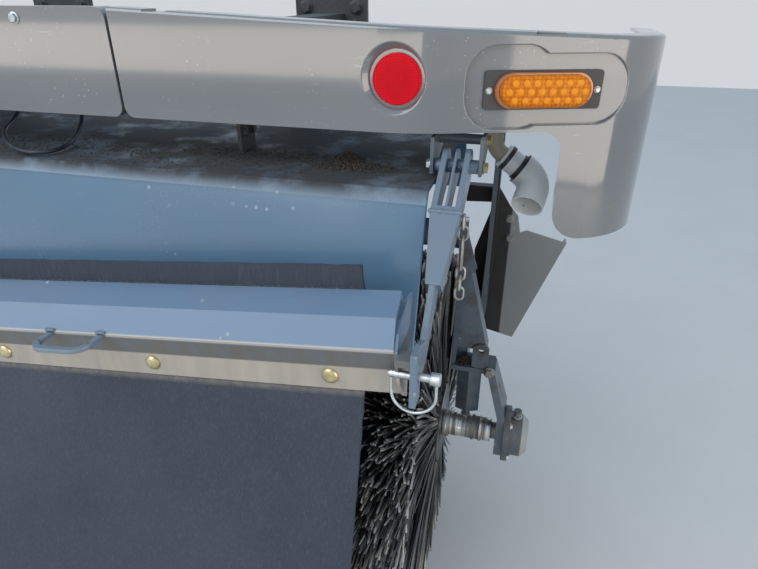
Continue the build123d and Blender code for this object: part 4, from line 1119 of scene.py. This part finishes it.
# The grey and pale kinds are painted highlights on the black filaments
bristle_finishes = [
    bristle_material("bristle_black", (0.004, 0.0042, 0.0045), (0.016, 0.017, 0.018), (0.30, 0.29, 0.275),
                     0.26),
    bristle_material("bristle_grey", (0.020, 0.021, 0.022), (0.10, 0.10, 0.10), (0.50, 0.48, 0.45), 0.3),
    bristle_material("bristle_worn", (0.13, 0.13, 0.127), (0.34, 0.335, 0.32), (0.66, 0.63, 0.59), 0.36)]
bristle_trees = [repeat_tree(made.name, made) for made in bristle_finishes]


def bristle_shape(name, bow, sway):
    """One filament, one unit long, three-sided, thinner to its tip, bowed to one side."""
    sections = [(0.0, 0.0098), (0.4, 0.0094), (0.75, 0.0090), (1.0, 0.0070)]
    vertices = []
    faces = [(2, 1, 0)]
    for level, half in sections:
        x = bow * level * level
        y = sway * math.sin(level * 3.4)
        vertices += [(x + half, y, level), (x - half * 0.6, y + half * 0.55, level),
                     (x - half * 0.6, y - half * 0.55, level)]
    for i in range(len(sections) - 1):
        for j in range(3):
            a, b = 3 * i + j, 3 * i + (j + 1) % 3
            faces.append((a, b, b + 3, a + 3))
    last = 3 * len(sections) - 3
    faces.append((last, last + 1, last + 2))
    return hidden_shape(name, [(vertices, faces)])


bristle_bows = (0.012, 0.05, 0.10)
bristle_kinds = [(bristle_shape("bristle_straight", bristle_bows[0], 0.003), 0.46),
                 (bristle_shape("bristle_bowed", bristle_bows[1], 0.010), 0.33),
                 (bristle_shape("bristle_bent", bristle_bows[2], -0.016), 0.21)]  # shape, share of all
bristle_end = 0.8620
bristle_root = 0.099
bristle_length = 0.311
lean_spread = 0.05
side_spread = 0.07


def bristle_zone(name, low, high, count, seed):
    """Filaments between two places along the core, in three kinds, as one piece."""
    chance = random.Random(seed)
    meshes = []
    for kind, (shape, portion) in enumerate(bristle_kinds):
        places = []
        axes = []
        for _ in range(round(count * portion)):
            x = chance.uniform(low, high)
            angle = chance.uniform(0, 2 * math.pi)
            radial = Vector((0, math.cos(angle), math.sin(angle)))
            lean = chance.gauss(0, lean_spread)
            room = (bristle_end - abs(x)) / bristle_length - 0.014 - bristle_bows[kind]
            outward = math.copysign(1.0, x)
            lean = outward * min(lean * outward, room)
            around = Vector((1, 0, 0)).cross(radial) * chance.gauss(0, side_spread)
            places.append(hub_line + Vector((x, 0, 0)) + radial * bristle_root)
            axes.append(radial + Vector((lean, 0, 0)) + around)
        part = carrier(name + str(kind), places, axes)
        settle(part, bristle_trees[kind], shape=shape, size=bristle_length, size_spread=0.009,
               turn_spread=6.28, seed=seed + kind)
        meshes.append(part)
    whole = bmesh.new()
    for kind, part in enumerate(meshes):
        for face in part.data.polygons:
            face.material_index = kind
        whole.from_mesh(part.data)
        bpy.data.objects.remove(part)
    data = bpy.data.meshes.new(name)
    whole.to_mesh(data)
    whole.free()
    for made in bristle_finishes:
        data.materials.append(made)
    piece = link_piece(name, data)
    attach(piece, "broom")


end_zone = 0.13
bristle_zone("bristles_right_end", bristle_end - end_zone, bristle_end - 0.003, 3300, 21)
bristle_zone("bristles_right", 0.0, bristle_end - end_zone, 5200, 22)
bristle_zone("bristles_left", end_zone - bristle_end, 0.0, 5200, 23)
bristle_zone("bristles_left_end", 0.003 - bristle_end, end_zone - bristle_end, 3300, 24)
mass_profile = [(0.096, -0.80), (0.27, -0.80), (0.31, -0.74), (0.31, 0.74), (0.27, 0.80), (0.096, 0.80)]
mass_shape = moved(lathe(mass_profile, 48), Matrix.Translation(hub_line) @ to_right)
mass_dark, tree, shader, place = material("bristle_mass", (0.006, 0.0065, 0.007), 0.8)
tree.links.new(blend(tree, noise(tree, place, 190.0), (0.003, 0.003, 0.004), (0.014, 0.014, 0.015)),
               shader.inputs["Base Color"])
bump(tree, shader, noise(tree, place, 240.0), 0.8, 0.004)
bristle_mass = build_piece("bristle_mass", [mass_shape], mass_dark, 40)
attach(bristle_mass, "broom")
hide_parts("broom_bristles")

# Broom arms: welded plates and flat bars in dark blue-grey paint, chipped, with the cross tube
# between them; road soil packs on the ties. Hexagon bolts hold the motor plates.
broom_paint = paint("broom_paint", (0.075, 0.105, 0.140), 0.36, dust=0.7, upright=0.22, chips=1.3, coat=0.3,
                    bare=(0.42, 0.42, 0.40), cloud=6.0)
tree, place = object_place(broom_paint)
grime = times(tree, ramp(tree, noise(tree, place, 11.0, 7.0, 0.7), 0.50, 0.64), 0.8)
lay_over(broom_paint, grime, (0.050, 0.041, 0.032), 0.8)
finish_nodes(["broom_arm_right", "broom_arm_left"], broom_paint, edge=0.0016)
finish_nodes(["broom_torque_tube"], broom_paint)
bolts("stop_bolts", "broom_lift", dull_bolts, 0.022, [((0.9600, -0.514, -0.655), rear_face)])
bolts("gusset_nuts", "broom_lift", zinc_bolts, 0.018, [((0.914, -0.512, -0.784), down_face)])
soil_heap("arm_soil", "broom_lift", [(0.905, -0.498, -0.649, 0.030, 0.018, 0.030, 500),
                                     (-0.905, -0.498, -0.649, 0.030, 0.018, 0.022, 300)], 5)

# Hub motors: a square-shouldered flange bolted to the plate, a cast body with a bare ring and
# one port on top with its yellow zinc fitting.
motor_paint = paint("motor_paint", (0.060, 0.080, 0.100), 0.4, dust=0.6, upright=0.2, chips=1.0, coat=0.25,
                    bare=(0.45, 0.46, 0.45))
tree, place = object_place(motor_paint)
brown_dirt = times(tree, ramp(tree, noise(tree, place, 16.0, 7.0, 0.7), 0.50, 0.64), 0.7)
lay_over(motor_paint, brown_dirt, (0.10, 0.065, 0.035), 0.8)
lay_over(motor_paint, ramp(tree, sideways_distance(tree, place), 1.0485, 1.0505), (0.30, 0.31, 0.29), 0.35)
finish_nodes(["hub_motors"], motor_paint, edge=0.0015)
motor_bolt_circle = 0.057
motor_bolt_places = []
for degrees in (35, 125, 215, 305):
    angle = math.radians(degrees)
    motor_bolt_places.append(((1.022, hub_y + math.cos(angle) * motor_bolt_circle,
                               hub_z + math.sin(angle) * motor_bolt_circle), right_face))
bolts("motor_bolts", "broom_lift", zinc_bolts, 0.014, motor_bolt_places)
bolts("port_nuts", "broom_lift", zinc_bolts, 0.019, [((1.036, hub_y, -0.766), up_face)])
bolts("port_fittings", "broom_lift", yellow_bolts, 0.016, [((1.036, hub_y, -0.7562), up_face)])

# Side deflectors: folded grey sheet that keeps the broom's throw inside, on a stepped plate;
# their inner side is painted near-black as painted shade.
deflector_paint = paint("deflector_paint", (0.24, 0.255, 0.262), 0.42, dust=0.5, upright=0.25, chips=0.9,
                        coat=0.2, bare=(0.45, 0.45, 0.43))
tree, place = object_place(deflector_paint)
# Painted shade: the deflector's inner side is painted near-black
painted_shade_inside = ramp(tree, sideways_distance(tree, place), 0.966, 0.963)
lay_over(deflector_paint, painted_shade_inside, (0.014, 0.014, 0.013), 0.6)
finish_nodes(["side_deflector_right", "side_deflector_left"], deflector_paint, edge=0.0012)
deflector_bolt_places = [((0.9588, -0.155, -0.4084), rear_face), ((0.9644, -0.155, -0.4628), rear_face)]
bolts("deflector_bolts", "root", dull_bolts, 0.018, deflector_bolt_places)

# Vent pipe: a beige hose end in a zinc sleeve with two black clamp bands, and a white moulded
# elbow that turns down. A dark painted bracket holds it under the bumper.
pipe_body = paint("pipe_body", (0.90, 0.90, 0.88), 0.4, dust=0.2, upright=0.2, chips=0.7, coat=0.1,
                  bare=(0.40, 0.39, 0.36))
tree, place = object_place(pipe_body)
pipe_start = Vector((0.919, -0.42, -0.16))
sleeve_way = Vector((0.091, 0, -0.062)).normalized()
along = coordinate(tree, place, tuple(sleeve_way), -sleeve_way.dot(pipe_start))
lay_over(pipe_body, ramp(tree, along, 0.083, 0.081), (0.80, 0.82, 0.82), 0.3)
for band_start in (0.0297, 0.0606):
    band = within(tree, along, band_start, band_start + 0.009, 0.0003)
    lay_over(pipe_body, band, (0.030, 0.030, 0.032), 0.5)
lay_over(pipe_body, ramp(tree, along, 0.0245, 0.0235), (0.42, 0.37, 0.28), 0.6)
finish_nodes(["vent_pipe"], pipe_body)
finish_nodes(["pipe_bracket"], chassis_paint)
finish_nodes(["cable_glands"], zinc)
